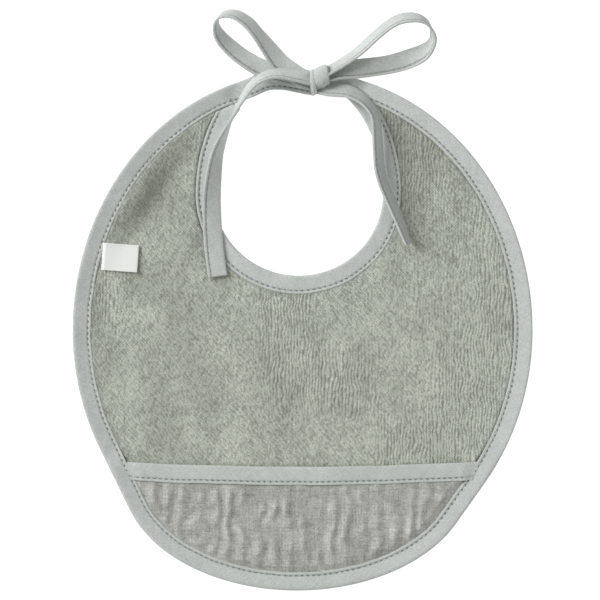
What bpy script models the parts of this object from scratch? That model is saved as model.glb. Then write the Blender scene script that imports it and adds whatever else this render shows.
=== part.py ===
"""Cloth bib: terry front, muslin lining and pocket, taped edges and ties knotted in a bow.

Units are metres. The bib lies flat with its front up (+Z) and +Y running from the pocket to the ties.
The origin is under the middle of the round body, on the surface that the bib lies on.
"""
import math

import bmesh
import bpy
import numpy as np
from mathutils import Vector

# Round body and the wider foot below it, measured on the bound edge
BODY_HALF_WIDTH = 0.1247
BODY_RISE = 0.1402
BODY_DROP = 0.1360
FOOT_CENTRE = (-0.0030, -0.0777)
FOOT_HALF_WIDTH = 0.0954
FOOT_DROP = 0.0636

# Neck opening, and the strap widths at which the cloth ends and at which the outer tape runs on as a tie
NECK_CENTRE = (-0.0022, 0.0739)
NECK_HALF_WIDTH = 0.0457
NECK_TOP_INSET = 0.0027
NECK_DROP = 0.0443
STRAP_END_WIDTH = 0.0146
STRAP_TIP_WIDTH = 0.0108

# Cloth layers and bias tape
LAYER_GAP = 0.0003
TAPE_CLOTH = 0.0006
TAPE_FOLD = 0.0010
LEAF_WIDTH = 0.0100
LIP_GAP = 0.0006
BACK_EDGE = 0.0007
BACK_LOFT = 0.0008
FRONT_EDGE = 0.0012
FRONT_PILE = 0.0032
LOFT_RAMP = 0.0060
STITCH_INSET = 0.0019
THREAD_RADIUS = 0.00025
THREAD_GAP = 0.00015

# Pocket along the foot
POCKET_TOP = -0.0712
POCKET_SAG = 0.0027
POCKET_CLOTH = 0.0008
POCKET_RAMP = 0.0050
POCKET_SIDE = 0.0015

# Side label, caught in the left seam
LABEL_HEIGHT_ON_SEAM = 0.0398
LABEL_LENGTH = 0.0195
LABEL_WIDTH = 0.0148
LABEL_CLOTH = 0.0005
LABEL_TILT = math.radians(-4.0)

# Tie tape, and the knot's middle line with y from the top of the round body
TIE_WIDTH = 0.0105
TIE_CLOTH = 0.0013
TIE_STITCH_INSET = 0.0018
LEAD_RUN = 0.0050
KNOT_TOP = (0.0090, 0.0038)
KNOT_MIDDLE = (0.0093, -0.0032)
KNOT_FOOT = (0.0072, -0.0122)
KNOT_HALF_WIDTHS = (0.0046, 0.0050, 0.0030)
KNOT_LOW = 0.0004
KNOT_HIGH = 0.0122
KNOT_ROUNDNESS = 3.0

# Routes of the ties: x, y from the top of the round body, z, and the roll of the stitched edge in degrees
# A lead's route starts from the end of the outer tape
LEFT_LEAD_ROUTE = [
    (-0.0200, -0.0050, 0.0017, 180), (-0.0100, -0.0046, 0.0015, 180), (-0.0030, -0.0059, 0.0014, 180),
    (0.0038, -0.0072, 0.0014, 180),
]
RIGHT_LEAD_ROUTE = [(0.0206, -0.0064, 0.0015, 0), (0.0149, -0.0056, 0.0014, 0)]
LEFT_LOOP_ROUTE = [
    (0.0033, -0.0011, 0.0057, 0), (-0.0010, 0.0004, 0.0057, 1), (-0.0060, 0.0029, 0.0057, 3),
    (-0.0122, 0.0065, 0.0062, 13), (-0.0185, 0.0131, 0.0080, 34), (-0.0239, 0.0196, 0.0102, 48),
    (-0.0296, 0.0261, 0.0118, 53), (-0.0362, 0.0302, 0.0122, 62), (-0.0430, 0.0302, 0.0116, 76),
    (-0.0464, 0.0261, 0.0105, 98), (-0.0447, 0.0196, 0.0090, 124), (-0.0386, 0.0131, 0.0072, 138),
    (-0.0300, 0.0065, 0.0060, 148), (-0.0205, 0.0011, 0.0052, 164), (-0.0095, -0.0024, 0.0043, 178),
    (0.0036, -0.0044, 0.0040, 180),
]
RIGHT_LOOP_ROUTE = [
    (0.0146, 0.0009, 0.0086, 126), (0.0253, 0.0070, 0.0094, 122), (0.0334, 0.0134, 0.0110, 118),
    (0.0405, 0.0195, 0.0126, 117), (0.0484, 0.0262, 0.0140, 116), (0.0586, 0.0303, 0.0150, 112),
    (0.0654, 0.0290, 0.0148, 104), (0.0695, 0.0243, 0.0134, 92), (0.0703, 0.0187, 0.0116, 76),
    (0.0664, 0.0132, 0.0098, 58), (0.0587, 0.0080, 0.0084, 45), (0.0470, 0.0048, 0.0074, 41),
    (0.0320, 0.0008, 0.0072, 48), (0.0152, -0.0045, 0.0074, 52),
]
LEFT_TAIL_ROUTE = [
    (0.0029, -0.0015, 0.0122, 54), (-0.0050, -0.0008, 0.0128, 56), (-0.0130, -0.0010, 0.0134, 58),
    (-0.0210, -0.0032, 0.0135, 62), (-0.0282, -0.0090, 0.0129, 67), (-0.0338, -0.0174, 0.0120, 76),
    (-0.0378, -0.0262, 0.0112, 90), (-0.0412, -0.0352, 0.0105, 108), (-0.0442, -0.0452, 0.0096, 126),
    (-0.0466, -0.0562, 0.0086, 142), (-0.0482, -0.0682, 0.0076, 154), (-0.0486, -0.0812, 0.0068, 163),
    (-0.0478, -0.0962, 0.0062, 170), (-0.0459, -0.1112, 0.0060, 175),
]
RIGHT_TAIL_ROUTE = [
    (0.0142, -0.0101, 0.0078, 130), (0.0188, -0.0094, 0.0081, 130), (0.0235, -0.0093, 0.0086, 130),
    (0.0290, -0.0114, 0.0094, 126), (0.0330, -0.0182, 0.0100, 116), (0.0352, -0.0292, 0.0102, 106),
    (0.0371, -0.0417, 0.0102, 102), (0.0400, -0.0542, 0.0102, 104), (0.0440, -0.0667, 0.0102, 108),
    (0.0487, -0.0782, 0.0102, 111), (0.0538, -0.0892, 0.0102, 112), (0.0573, -0.0940, 0.0102, 113),
]

# Joint positions that the ties turn on, with y from the top of the round body
LEFT_LOOP_PIVOT = (0.0033, 0.0046, 0.0057)
RIGHT_LOOP_PIVOT = (0.0146, 0.0067, 0.0086)
LEFT_TAIL_PIVOT = (0.0031, -0.0015, 0.0172)
RIGHT_TAIL_PIVOT = (0.0140, -0.0101, 0.0126)

# How finely the shapes are cut
EDGE_STATIONS = 56
NECK_STATIONS = 40
HEM_STATIONS = 25
POCKET_STATIONS = 29
KNOT_STATIONS = 9
KNOT_SIDES = 16
TIE_STEP = 0.0042
FINE_STEPS = 1440
STRAP_STEPS = 181

# The neck opening's rise, which keeps the straps' width
NECK_RISE = BODY_RISE - NECK_TOP_INSET - NECK_CENTRE[1]

# Heights that follow from the layers
BACK_LOW = TAPE_CLOTH + LAYER_GAP
FRONT_LOW = BACK_LOW + BACK_EDGE + LAYER_GAP
LEAF_LOW = FRONT_LOW + FRONT_EDGE + LAYER_GAP
EDGE_HIGH = LEAF_LOW + TAPE_CLOTH
INNER_FRONT_LOW = BACK_LOFT + LAYER_GAP
INNER_FRONT_HIGH = INNER_FRONT_LOW + FRONT_PILE
ON_FRONT = max(INNER_FRONT_HIGH, EDGE_HIGH) + LAYER_GAP
POCKET_MOUTH_LOW = ON_FRONT + TAPE_CLOTH + LAYER_GAP
HEM_HIGH = POCKET_MOUTH_LOW + POCKET_CLOTH + LAYER_GAP + TAPE_CLOTH
CLOTH_INSET = TAPE_CLOTH + LAYER_GAP
LIP = LEAF_WIDTH + LIP_GAP

SAGE_TERRY = ("sage_terry", (0.36, 0.38, 0.33), 0.95)
SAGE_MUSLIN = ("sage_muslin", (0.36, 0.37, 0.33), 0.90)
SAGE_TAPE = ("sage_tape", (0.50, 0.54, 0.52), 0.85)
SAGE_THREAD = ("sage_thread", (0.42, 0.45, 0.42), 0.80)
WHITE_SATIN = ("white_satin", (0.80, 0.82, 0.78), 0.60)


def clear_scene():
    """Remove the objects that the scene starts with."""
    for old in list(bpy.data.objects):
        bpy.data.objects.remove(old, do_unlink=True)


def cloth_material(finish):
    """Return the named cloth material, making it on its first use."""
    name, colour, roughness = finish
    found = bpy.data.materials.get(name)
    if found:
        return found
    material = bpy.data.materials.new(name)
    material.use_nodes = True
    shader = material.node_tree.nodes["Principled BSDF"]
    shader.inputs["Base Color"].default_value = (*colour, 1.0)
    shader.inputs["Roughness"].default_value = roughness
    shader.inputs["Metallic"].default_value = 0.0
    return material


def add_pivot(name, place):
    """Add an empty that stands on a joint's axis."""
    pivot = bpy.data.objects.new(name, None)
    pivot.location = place
    bpy.context.collection.objects.link(pivot)
    return pivot


def place_object(name, data, finish, pivot):
    """Link a piece to the scene and hang it on its pivot."""
    data.materials.append(cloth_material(finish))
    piece = bpy.data.objects.new(name, data)
    piece.parent = pivot
    bpy.context.collection.objects.link(piece)
    return piece


def add_skin(name, sections, finish, pivot=None):
    """Skin a row of closed sections into one solid with flat ends."""
    offset = Vector(pivot.location) if pivot else Vector()
    bm = bmesh.new()
    rings = [[bm.verts.new(Vector(point) - offset) for point in section] for section in sections]
    for ring, following in zip(rings, rings[1:]):
        for i, corner in enumerate(ring):
            j = (i + 1) % len(ring)
            bm.faces.new((corner, ring[j], following[j], following[i]))
    bm.faces.new(list(reversed(rings[0])))
    bm.faces.new(rings[-1])
    bmesh.ops.recalc_face_normals(bm, faces=bm.faces)
    mesh = bpy.data.meshes.new(name)
    bm.to_mesh(mesh)
    bm.free()
    mesh.shade_smooth()
    mesh.set_sharp_from_angle(angle=math.radians(40))
    return place_object(name, mesh, finish, pivot)


def add_thread(name, points, pivot=None):
    """Lay one sewing thread along points, as a thin tube with closed ends."""
    offset = Vector(pivot.location) if pivot else Vector()
    curve = bpy.data.curves.new(name, "CURVE")
    curve.dimensions = "3D"
    curve.bevel_depth = THREAD_RADIUS
    curve.bevel_resolution = 0
    curve.use_fill_caps = True
    spline = curve.splines.new("POLY")
    spline.points.add(len(points) - 1)
    for knot, point in zip(spline.points, points):
        knot.co = (*(Vector(point) - offset), 1.0)
    return place_object(name, curve, SAGE_THREAD, pivot)


def resample(points, count):
    """Return count rows evenly spaced along a row of points."""
    steps = np.linalg.norm(np.diff(points[:, :3], axis=0), axis=1)
    along = np.concatenate([[0.0], np.cumsum(steps)])
    wanted = np.linspace(0.0, along[-1], count)
    return np.column_stack([np.interp(wanted, along, column) for column in points.T])


def edge_normals(points):
    """Return the left-hand normals of a row of points in the plane."""
    tangents = np.gradient(points, axis=0)
    tangents /= np.linalg.norm(tangents, axis=1)[:, None]
    return np.column_stack([-tangents[:, 1], tangents[:, 0]])


def ellipse_support(centre, half_width, half_height, cosine, sine):
    """Return the ellipse's furthest point in a direction."""
    reach = math.hypot(half_width * cosine, half_height * sine)
    return (centre[0] + half_width**2 * cosine / reach, centre[1] + half_height**2 * sine / reach)


def outer_edge():
    """Return the outer edge from the top, anticlockwise: the hull of the round body and the foot."""
    edge = []
    for turn in np.linspace(math.pi / 2, math.pi * 5 / 2, FINE_STEPS):
        cosine, sine = math.cos(turn), math.sin(turn)
        body_height = BODY_RISE if sine > 0 else BODY_DROP
        body = ellipse_support((0.0, 0.0), BODY_HALF_WIDTH, body_height, cosine, sine)
        foot = ellipse_support(FOOT_CENTRE, FOOT_HALF_WIDTH, FOOT_DROP, cosine, sine)
        edge.append(max(body, foot, key=lambda point: point[0] * cosine + point[1] * sine))
    return np.array(edge)


def strap_to_strap(edge, end_width, count):
    """Cut an edge off where the left strap narrows to a width, and even out its points."""
    turns = np.linspace(0.0, math.pi / 2, STRAP_STEPS)
    rim = outer_edge()
    strap_widths = [nearest_distance(neck_point(math.pi - turn), rim) for turn in turns]
    end_angle = np.interp(-end_width, -np.array(strap_widths), turns)
    directions = np.unwrap(np.arctan2(edge[:, 1] - NECK_CENTRE[1], edge[:, 0] - NECK_CENTRE[0]))
    directions += 2 * math.pi * round((math.pi / 2 - directions[0]) / (2 * math.pi))
    wanted = np.linspace(math.pi - end_angle, 2 * math.pi + end_angle, FINE_STEPS)
    kept = np.column_stack([np.interp(wanted, directions, column) for column in edge.T])
    return resample(kept, count)


def neck_point(direction):
    """Return the neck edge's point in a direction from the neck's centre."""
    height = NECK_RISE if math.sin(direction) > 0 else NECK_DROP
    reach = 1.0 / math.hypot(math.cos(direction) / NECK_HALF_WIDTH, math.sin(direction) / height)
    return (NECK_CENTRE[0] + reach * math.cos(direction), NECK_CENTRE[1] + reach * math.sin(direction))


def neck_edge():
    """Return the neck edge from the top, anticlockwise."""
    return np.array([neck_point(turn) for turn in np.linspace(math.pi / 2, math.pi * 5 / 2, FINE_STEPS)])


def nearest_distance(point, edge):
    """Return the distance from a point to the nearest point of an edge."""
    return float(np.min(np.linalg.norm(edge - point, axis=1)))


def tape_profile(width, low, high):
    """Return a folded tape's section, as (distance from the fold, height), from its upper lip round."""
    fold = min(TAPE_FOLD, (high - low) / 2 - TAPE_CLOTH)
    slope = 0.3 * fold
    inner = TAPE_CLOTH + slope
    return [
        (width, high), (fold, high), (slope, high - slope), (0.0, high - fold),
        (0.0, low + fold), (slope, low + slope), (fold, low), (width, low),
        (width, low + TAPE_CLOTH), (inner, low + TAPE_CLOTH), (TAPE_CLOTH, low + inner),
        (TAPE_CLOTH, high - inner), (inner, high - TAPE_CLOTH), (width, high - TAPE_CLOTH),
    ]


def fold_tape(edge, inward, widths, low, high):
    """Return the sections of a tape folded over an edge."""
    sections = []
    for place, normal, width in zip(edge, inward, widths):
        profile = tape_profile(width, low, high)
        sections.append([(*(place + normal * depth), height) for depth, height in profile])
    return sections


def stitch_line(edge, inward, widths, height):
    """Return the points of a thread that runs beside a tape's lip."""
    lift = height + THREAD_GAP + THREAD_RADIUS
    return [
        (*(place + normal * (width - STITCH_INSET)), lift)
        for place, normal, width in zip(edge, inward, widths)
    ]


def cloth_rows(outer, inward):
    """Return each station's points across the cloth, from the neck edge to the outer edge, with its loft."""
    across, lofts = [], []
    for place, normal in zip(outer, inward):
        direction = math.atan2(place[1] - NECK_CENTRE[1], place[0] - NECK_CENTRE[0])
        start = np.array(neck_point(direction))
        height = NECK_RISE if math.sin(direction) > 0 else NECK_DROP
        away = (start - NECK_CENTRE) / np.array([NECK_HALF_WIDTH**2, height**2])
        away /= np.linalg.norm(away)
        width = np.linalg.norm(place - start)
        depths = [CLOTH_INSET, min(LIP, 0.46 * width), min(LIP + LOFT_RAMP, 0.48 * width)]
        near = [start + away * depth for depth in depths]
        far = [place + normal * depth for depth in reversed(depths)]
        loft = [min(max((depth - LIP) / LOFT_RAMP, 0.0), 1.0) for depth in depths]
        across.append([*near, (near[-1] + far[0]) / 2, *far])
        lofts.append([*loft, loft[-1], *reversed(loft)])
    return across, lofts


def cloth_sections(across, lofts, edge_span, inner_span):
    """Return the sections of a cloth panel whose height goes from its bound edge to its loft."""
    sections = []
    for row, loft in zip(across, lofts):
        low = [edge_span[0] + (inner_span[0] - edge_span[0]) * share for share in loft]
        high = [edge_span[1] + (inner_span[1] - edge_span[1]) * share for share in loft]
        under = [(*point, height) for point, height in zip(row, low)]
        over = [(*point, height) for point, height in zip(row, high)]
        sections.append([*under, *reversed(over)])
    return sections


def add_body(outer, inward, neck):
    """Make the two panels, the tapes on their edges and the tapes' stitches."""
    across, lofts = cloth_rows(outer, inward)
    back = cloth_sections(across, lofts, (BACK_LOW, BACK_LOW + BACK_EDGE), (0.0, BACK_LOFT))
    front = cloth_sections(
        across, lofts, (FRONT_LOW, FRONT_LOW + FRONT_EDGE), (INNER_FRONT_LOW, INNER_FRONT_HIGH)
    )
    add_skin("back_panel", back, SAGE_MUSLIN)
    add_skin("front_panel", front, SAGE_TERRY)

    outer_line = strap_to_strap(outer_edge(), STRAP_TIP_WIDTH, EDGE_STATIONS)
    outer_in = edge_normals(outer_line)
    widths = [LEAF_WIDTH] * EDGE_STATIONS
    add_skin("outer_binding", fold_tape(outer_line, outer_in, widths, 0.0, EDGE_HIGH), SAGE_TAPE)
    add_thread("outer_seam_thread", stitch_line(outer_line, outer_in, widths, EDGE_HIGH))

    neck_line = strap_to_strap(neck, STRAP_END_WIDTH, NECK_STATIONS)
    neck_out = -edge_normals(neck_line)
    rim = outer_edge()
    widths = [min(LEAF_WIDTH, nearest_distance(place, rim) - LEAF_WIDTH - LAYER_GAP) for place in neck_line]
    add_skin("neck_binding", fold_tape(neck_line, neck_out, widths, 0.0, EDGE_HIGH), SAGE_TAPE)
    add_thread("neck_seam_thread", stitch_line(neck_line, neck_out, widths, EDGE_HIGH))


def mouth_height(x, half_span):
    """Return the y of the pocket mouth's fold at x: it sags to the middle."""
    return POCKET_TOP - POCKET_SAG * (1.0 - min(abs(x - FOOT_CENTRE[0]) / half_span, 1.0) ** 2)


def lip_side(lip_line, side, y):
    """Return the x at which the outer binding's lip passes height y, on the left (-1) or the right (1)."""
    flank = lip_line[(lip_line[:, 0] - FOOT_CENTRE[0]) * side > 0]
    flank = flank[flank[:, 1] < NECK_CENTRE[1]]
    order = np.argsort(flank[:, 1])
    return float(np.interp(y, flank[order, 1], flank[order, 0]))


def add_pocket(edge, pivot):
    """Make the pocket's panel, the tape over its mouth and the hem's stitches."""
    lip_line = edge + edge_normals(edge) * LIP
    half_span = (lip_side(lip_line, 1, POCKET_TOP) - lip_side(lip_line, -1, POCKET_TOP)) / 2

    def hem_point(share, depth, height):
        """Return a point of the hem at a share of the mouth's width."""
        level = POCKET_TOP - depth
        left, right = lip_side(lip_line, -1, level), lip_side(lip_line, 1, level)
        x = left + (right - left) * share
        return (x, mouth_height(x, half_span) - depth, height)

    shares = np.linspace(0.0, 1.0, HEM_STATIONS)
    profile = tape_profile(LEAF_WIDTH, ON_FRONT, HEM_HIGH)
    hem = [[hem_point(share, depth, height) for depth, height in profile] for share in shares]
    add_skin("pocket_binding", hem, SAGE_TAPE, pivot)
    thread_height = HEM_HIGH + THREAD_GAP + THREAD_RADIUS
    stitches = [hem_point(share, LEAF_WIDTH - STITCH_INSET, thread_height) for share in shares]
    add_thread("pocket_hem_thread", stitches, pivot)

    below = lip_line[lip_line[:, 1] < POCKET_TOP - CLOTH_INSET - POCKET_SIDE]
    rim = resample(below, POCKET_STATIONS)
    sections = []
    for place, share in zip(rim, np.linspace(0.0, 1.0, POCKET_STATIONS)):
        top = np.array(hem_point(share, CLOTH_INSET, 0.0)[:2])
        length = np.linalg.norm(place - top)
        depths = [0.0, min(LIP, 0.6 * length), min(LIP + POCKET_RAMP, 0.8 * length), length]
        row = [top + (place - top) * depth / length for depth in depths]
        drops = [row[0][1] - point[1] for point in row]
        rise = [min(max((LIP + POCKET_RAMP - drop) / POCKET_RAMP, 0.0), 1.0) for drop in drops]
        low = [ON_FRONT + (POCKET_MOUTH_LOW - ON_FRONT) * share_up for share_up in rise]
        under = [(*point, height) for point, height in zip(row, low)]
        over = [(*point, height + POCKET_CLOTH) for point, height in zip(row, low)]
        sections.append([*under, *reversed(over)])
    add_skin("pocket_panel", sections, SAGE_MUSLIN, pivot)


def label_seam(edge):
    """Return the middle of the label's sewn edge, on the lip of the outer binding."""
    lip_line = edge + edge_normals(edge) * LIP
    left = lip_line[lip_line[:, 0] < FOOT_CENTRE[0] - FOOT_HALF_WIDTH]
    nearest = np.argmin(np.abs(left[:, 1] - LABEL_HEIGHT_ON_SEAM))
    return (*left[nearest], ON_FRONT + LABEL_CLOTH / 2)


def add_label(pivot):
    """Make the label, a flat strip with eased corners that lies on the terry."""
    ahead = Vector((math.cos(LABEL_TILT), math.sin(LABEL_TILT), 0.0))
    aside = Vector((-ahead.y, ahead.x, 0.0))
    ease = LABEL_CLOTH
    reaches = [(0.0, 0.0), (ease, ease), (LABEL_LENGTH - ease, ease), (LABEL_LENGTH, 0.0)]
    sections = []
    for reach, widen in reaches:
        half = LABEL_WIDTH / 2 - ease + widen
        middle = Vector(pivot.location) + ahead * reach
        corners = [(-half, -1), (half, -1), (half, 1), (-half, 1)]
        sections.append(
            [middle + aside * across + Vector((0, 0, side * LABEL_CLOTH / 2)) for across, side in corners]
        )
    add_skin("side_label", sections, WHITE_SATIN, pivot)


def from_top(points):
    """Return points whose y was given from the top of the round body in the bib's own frame."""
    return [(x, y + BODY_RISE, *rest) for x, y, *rest in points]


def smooth_route(route):
    """Return even stations along a smooth curve through a route's points."""
    points = np.array(route, dtype=float)
    padded = np.vstack([2 * points[0] - points[1], points, 2 * points[-1] - points[-2]])
    curve = []
    for a, b, c, d in zip(padded, padded[1:], padded[2:], padded[3:]):
        for t in np.linspace(0.0, 1.0, 16, endpoint=False):
            bend = (2 * a - 5 * b + 4 * c - d) * t**2 + (3 * b - a - 3 * c + d) * t**3
            curve.append((2 * b + (c - a) * t + bend) / 2)
    curve.append(points[-1])
    curve = np.array(curve)
    length = float(np.sum(np.linalg.norm(np.diff(curve[:, :3], axis=0), axis=1)))
    return resample(curve, max(4, round(length / TIE_STEP) + 1))


def tie_frames(route):
    """Return each station's middle, the direction to its stitched edge and its face's normal."""
    stations = smooth_route(route)
    tangents = np.gradient(stations[:, :3], axis=0)
    frames = []
    for station, tangent in zip(stations, tangents):
        ahead = Vector(tangent).normalized()
        level = Vector((0, 0, 1)).cross(ahead).normalized()
        upright = ahead.cross(level)
        roll = math.radians(station[3])
        aside = level * math.cos(roll) + upright * math.sin(roll)
        frames.append((Vector(station[:3]), aside, ahead.cross(aside)))
    return frames


def add_tie(name, route, pivot=None):
    """Make one stretch of tie tape along its route, with the thread that closes its edge."""
    half, thick = TIE_WIDTH / 2, TIE_CLOTH / 2
    flat = half - thick
    outline = [(-half, 0), (-flat, 1), (flat, 1), (half, 0), (flat, -1), (-flat, -1)]
    frames = tie_frames(route)
    lift = math.copysign(thick + LAYER_GAP + THREAD_RADIUS, frames[0][2].z)
    sections, stitches = [], []
    for middle, aside, face in frames:
        sections.append([middle + aside * across + face * (side * thick) for across, side in outline])
        stitches.append(middle + aside * (half - TIE_STITCH_INSET) + face * lift)
    add_skin(name, sections, SAGE_TAPE, pivot)
    add_thread(name.replace("tie_", "").replace("bow_", "") + "_thread", stitches[1:-1], pivot)


def add_knot():
    """Make the knot: a rounded lump that narrows to its foot."""
    rows = np.array(from_top([KNOT_TOP, KNOT_MIDDLE, KNOT_FOOT]))
    middle_height = (KNOT_HIGH + KNOT_LOW) / 2
    half_height = (KNOT_HIGH - KNOT_LOW) / 2
    sections = []
    for share in np.linspace(0.0, 1.0, KNOT_STATIONS):
        place = 2.0 * share
        x = float(np.interp(place, (0, 1, 2), rows[:, 0]))
        y = float(np.interp(place, (0, 1, 2), rows[:, 1]))
        half_width = float(np.interp(place, (0, 1, 2), KNOT_HALF_WIDTHS))
        swell = (1.0 - 0.6 * abs(place - 1.0) ** 3) ** 0.5
        ring = []
        for turn in np.linspace(0.0, 2 * math.pi, KNOT_SIDES, endpoint=False):
            reach = (abs(math.cos(turn)) ** KNOT_ROUNDNESS + abs(math.sin(turn)) ** KNOT_ROUNDNESS)
            reach **= -1.0 / KNOT_ROUNDNESS
            across = half_width * swell * reach * math.cos(turn)
            ring.append((x + across, y, middle_height + half_height * swell * reach * math.sin(turn)))
        sections.append(ring)
    add_skin("bow_knot", sections, SAGE_TAPE)


def strap_tip(edge, inward, roll):
    """Return the two points with which a lead carries on from the end of the outer tape."""
    ahead = edge[0] - edge[1]
    ahead /= np.linalg.norm(ahead)
    middle = edge[0] + inward[0] * LEAF_WIDTH / 2
    return [(*(middle + ahead * run), EDGE_HIGH / 2, roll) for run in (LAYER_GAP, LEAD_RUN)]


def add_bow():
    """Make the ties: two leads, the knot, two loops and two tails."""
    edge = strap_to_strap(outer_edge(), STRAP_TIP_WIDTH, FINE_STEPS)
    inward = edge_normals(edge)
    add_tie("left_tie_lead", [*strap_tip(edge, inward, 180), *from_top(LEFT_LEAD_ROUTE)])
    add_tie("right_tie_lead", [*strap_tip(edge[::-1], inward[::-1], 0), *from_top(RIGHT_LEAD_ROUTE)])
    add_knot()
    ties = [
        ("left_bow_loop", LEFT_LOOP_ROUTE, "left_loop_pivot", LEFT_LOOP_PIVOT),
        ("right_bow_loop", RIGHT_LOOP_ROUTE, "right_loop_pivot", RIGHT_LOOP_PIVOT),
        ("left_tie_tail", LEFT_TAIL_ROUTE, "left_tail_pivot", LEFT_TAIL_PIVOT),
        ("right_tie_tail", RIGHT_TAIL_ROUTE, "right_tail_pivot", RIGHT_TAIL_PIVOT),
    ]
    for name, route, pivot_name, pivot_place in ties:
        add_tie(name, from_top(route), add_pivot(pivot_name, from_top([pivot_place])[0]))


def main():
    """Build the bib."""
    clear_scene()
    neck = neck_edge()
    outer = strap_to_strap(outer_edge(), STRAP_END_WIDTH, EDGE_STATIONS)
    add_body(outer, edge_normals(outer), neck)

    fine_edge = strap_to_strap(outer_edge(), STRAP_END_WIDTH, FINE_STEPS)
    pocket_foot = FOOT_CENTRE[1] - FOOT_DROP + LIP - LAYER_GAP
    add_pocket(fine_edge, add_pivot("pocket_pivot", (FOOT_CENTRE[0], pocket_foot, ON_FRONT)))
    add_label(add_pivot("label_pivot", label_seam(fine_edge)))
    add_bow()


main()
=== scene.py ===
"""Dress the cloth bib: looped terry, crinkled gauze, bias tape, stitches, a bare woven label and a tied bow.

Units are metres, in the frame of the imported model: the bib lies front up (+Z), with +Y from pocket to ties.
"""
import logging
import math
from dataclasses import dataclass, field
from enum import Enum

import bmesh
import bpy
import numpy as np
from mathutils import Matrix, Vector
from mathutils.kdtree import KDTree


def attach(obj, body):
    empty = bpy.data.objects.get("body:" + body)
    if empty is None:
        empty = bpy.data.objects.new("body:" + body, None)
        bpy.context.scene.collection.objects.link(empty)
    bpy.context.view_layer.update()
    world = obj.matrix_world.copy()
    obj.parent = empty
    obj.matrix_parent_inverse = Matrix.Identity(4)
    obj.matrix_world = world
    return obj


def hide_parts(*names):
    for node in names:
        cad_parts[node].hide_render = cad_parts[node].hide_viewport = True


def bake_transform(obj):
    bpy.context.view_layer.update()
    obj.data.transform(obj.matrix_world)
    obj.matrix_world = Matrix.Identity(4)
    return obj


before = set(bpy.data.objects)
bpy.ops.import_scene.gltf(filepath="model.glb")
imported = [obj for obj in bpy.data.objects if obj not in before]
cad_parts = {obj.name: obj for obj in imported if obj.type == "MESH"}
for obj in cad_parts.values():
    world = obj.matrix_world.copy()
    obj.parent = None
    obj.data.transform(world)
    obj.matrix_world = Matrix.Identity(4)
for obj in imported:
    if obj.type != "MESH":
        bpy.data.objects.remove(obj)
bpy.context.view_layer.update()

LOG = logging.getLogger("cloth_bib")
BAKE_MAP = "OFBake"
MM = 0.001
ROOT_BODY = "bib"

Piece = bpy.types.Object
Tree = bpy.types.NodeTree
Socket = bpy.types.NodeSocket
Cell = tuple[float, float]
Layers = tuple[tuple[float, Cell, int], ...]
Route = list[tuple[float, ...]]


class Slot(Enum):
    """The record's material slots."""

    TERRY = "terry"
    MUSLIN = "muslin"
    TAPE = "tape"
    THREAD = "thread"
    LABEL = "label"


# Number helpers

LATTICE_SIDE = 97
LATTICE_SHIFT = (31.3, 57.7)
CURVE_STEPS = 16


def ease(value: np.ndarray | float) -> np.ndarray:
    """Return a smooth step from 0 to 1 of a value that is cut to that range."""
    cut = np.clip(value, 0.0, 1.0)
    return cut * cut * (3.0 - 2.0 * cut)


def lattice_noise(x: np.ndarray, y: np.ndarray | float, cell: Cell, seed: int) -> np.ndarray:
    """Return smooth noise from -1 to 1.

    Args:
        x: First coordinates.
        y: Second coordinates, of a shape that goes with the first ones.
        cell: Size of the noise's cells along x and y.
        seed: Seed of the random lattice.

    Returns:
        The noise at each point.
    """
    table = np.random.default_rng(seed).uniform(-1.0, 1.0, (LATTICE_SIDE, LATTICE_SIDE))
    u, v = (np.asarray(value) / size + shift for value, size, shift in zip((x, y), cell, LATTICE_SHIFT))
    i, j = np.floor(u).astype(int), np.floor(v).astype(int)
    a, b = ease(u - i), ease(v - j)
    i, j = i % LATTICE_SIDE, j % LATTICE_SIDE
    ii, jj = (i + 1) % LATTICE_SIDE, (j + 1) % LATTICE_SIDE
    near = table[i, j] * (1 - a) + table[ii, j] * a
    far = table[i, jj] * (1 - a) + table[ii, jj] * a
    return near * (1 - b) + far * b


def layered_noise(points: np.ndarray, layers: Layers, seed: int = 0) -> np.ndarray:
    """Return a sum of noises.

    Args:
        points: Places in the plane, one row each.
        layers: Weight, cell and seed of each noise.
        seed: Number that is added to every layer's seed.

    Returns:
        The sum at each place.
    """
    x, y = points.T
    return sum(weight * lattice_noise(x, y, cell, seed + number) for weight, cell, number in layers)


def run_lengths(points: np.ndarray) -> np.ndarray:
    """Return the distance along a row of points, from its start to each point."""
    steps = np.linalg.norm(np.diff(points[:, :3], axis=0), axis=1)
    return np.concatenate([[0.0], np.cumsum(steps)])


def read_rows(wanted: np.ndarray, along: np.ndarray, rows: np.ndarray) -> np.ndarray:
    """Return what rows that stand at places along a line would hold at the wanted places."""
    return np.stack([np.interp(wanted, along, column) for column in rows.T], axis=-1)


def resample(points: np.ndarray, step: float) -> np.ndarray:
    """Return a row of points, with its further columns, at even steps."""
    along = run_lengths(points)
    return read_rows(np.linspace(0.0, along[-1], max(4, round(along[-1] / step) + 1)), along, points)


def left_normals(points: np.ndarray) -> np.ndarray:
    """Return the left-hand normals of a row of points in the plane.

    Args:
        points: The row, whose columns after x and y aren't used.

    Returns:
        A unit vector for each point.
    """
    tangents = np.gradient(points[:, :2], axis=0)
    tangents /= np.linalg.norm(tangents, axis=1)[:, None]
    return np.column_stack([-tangents[:, 1], tangents[:, 0]])


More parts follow.
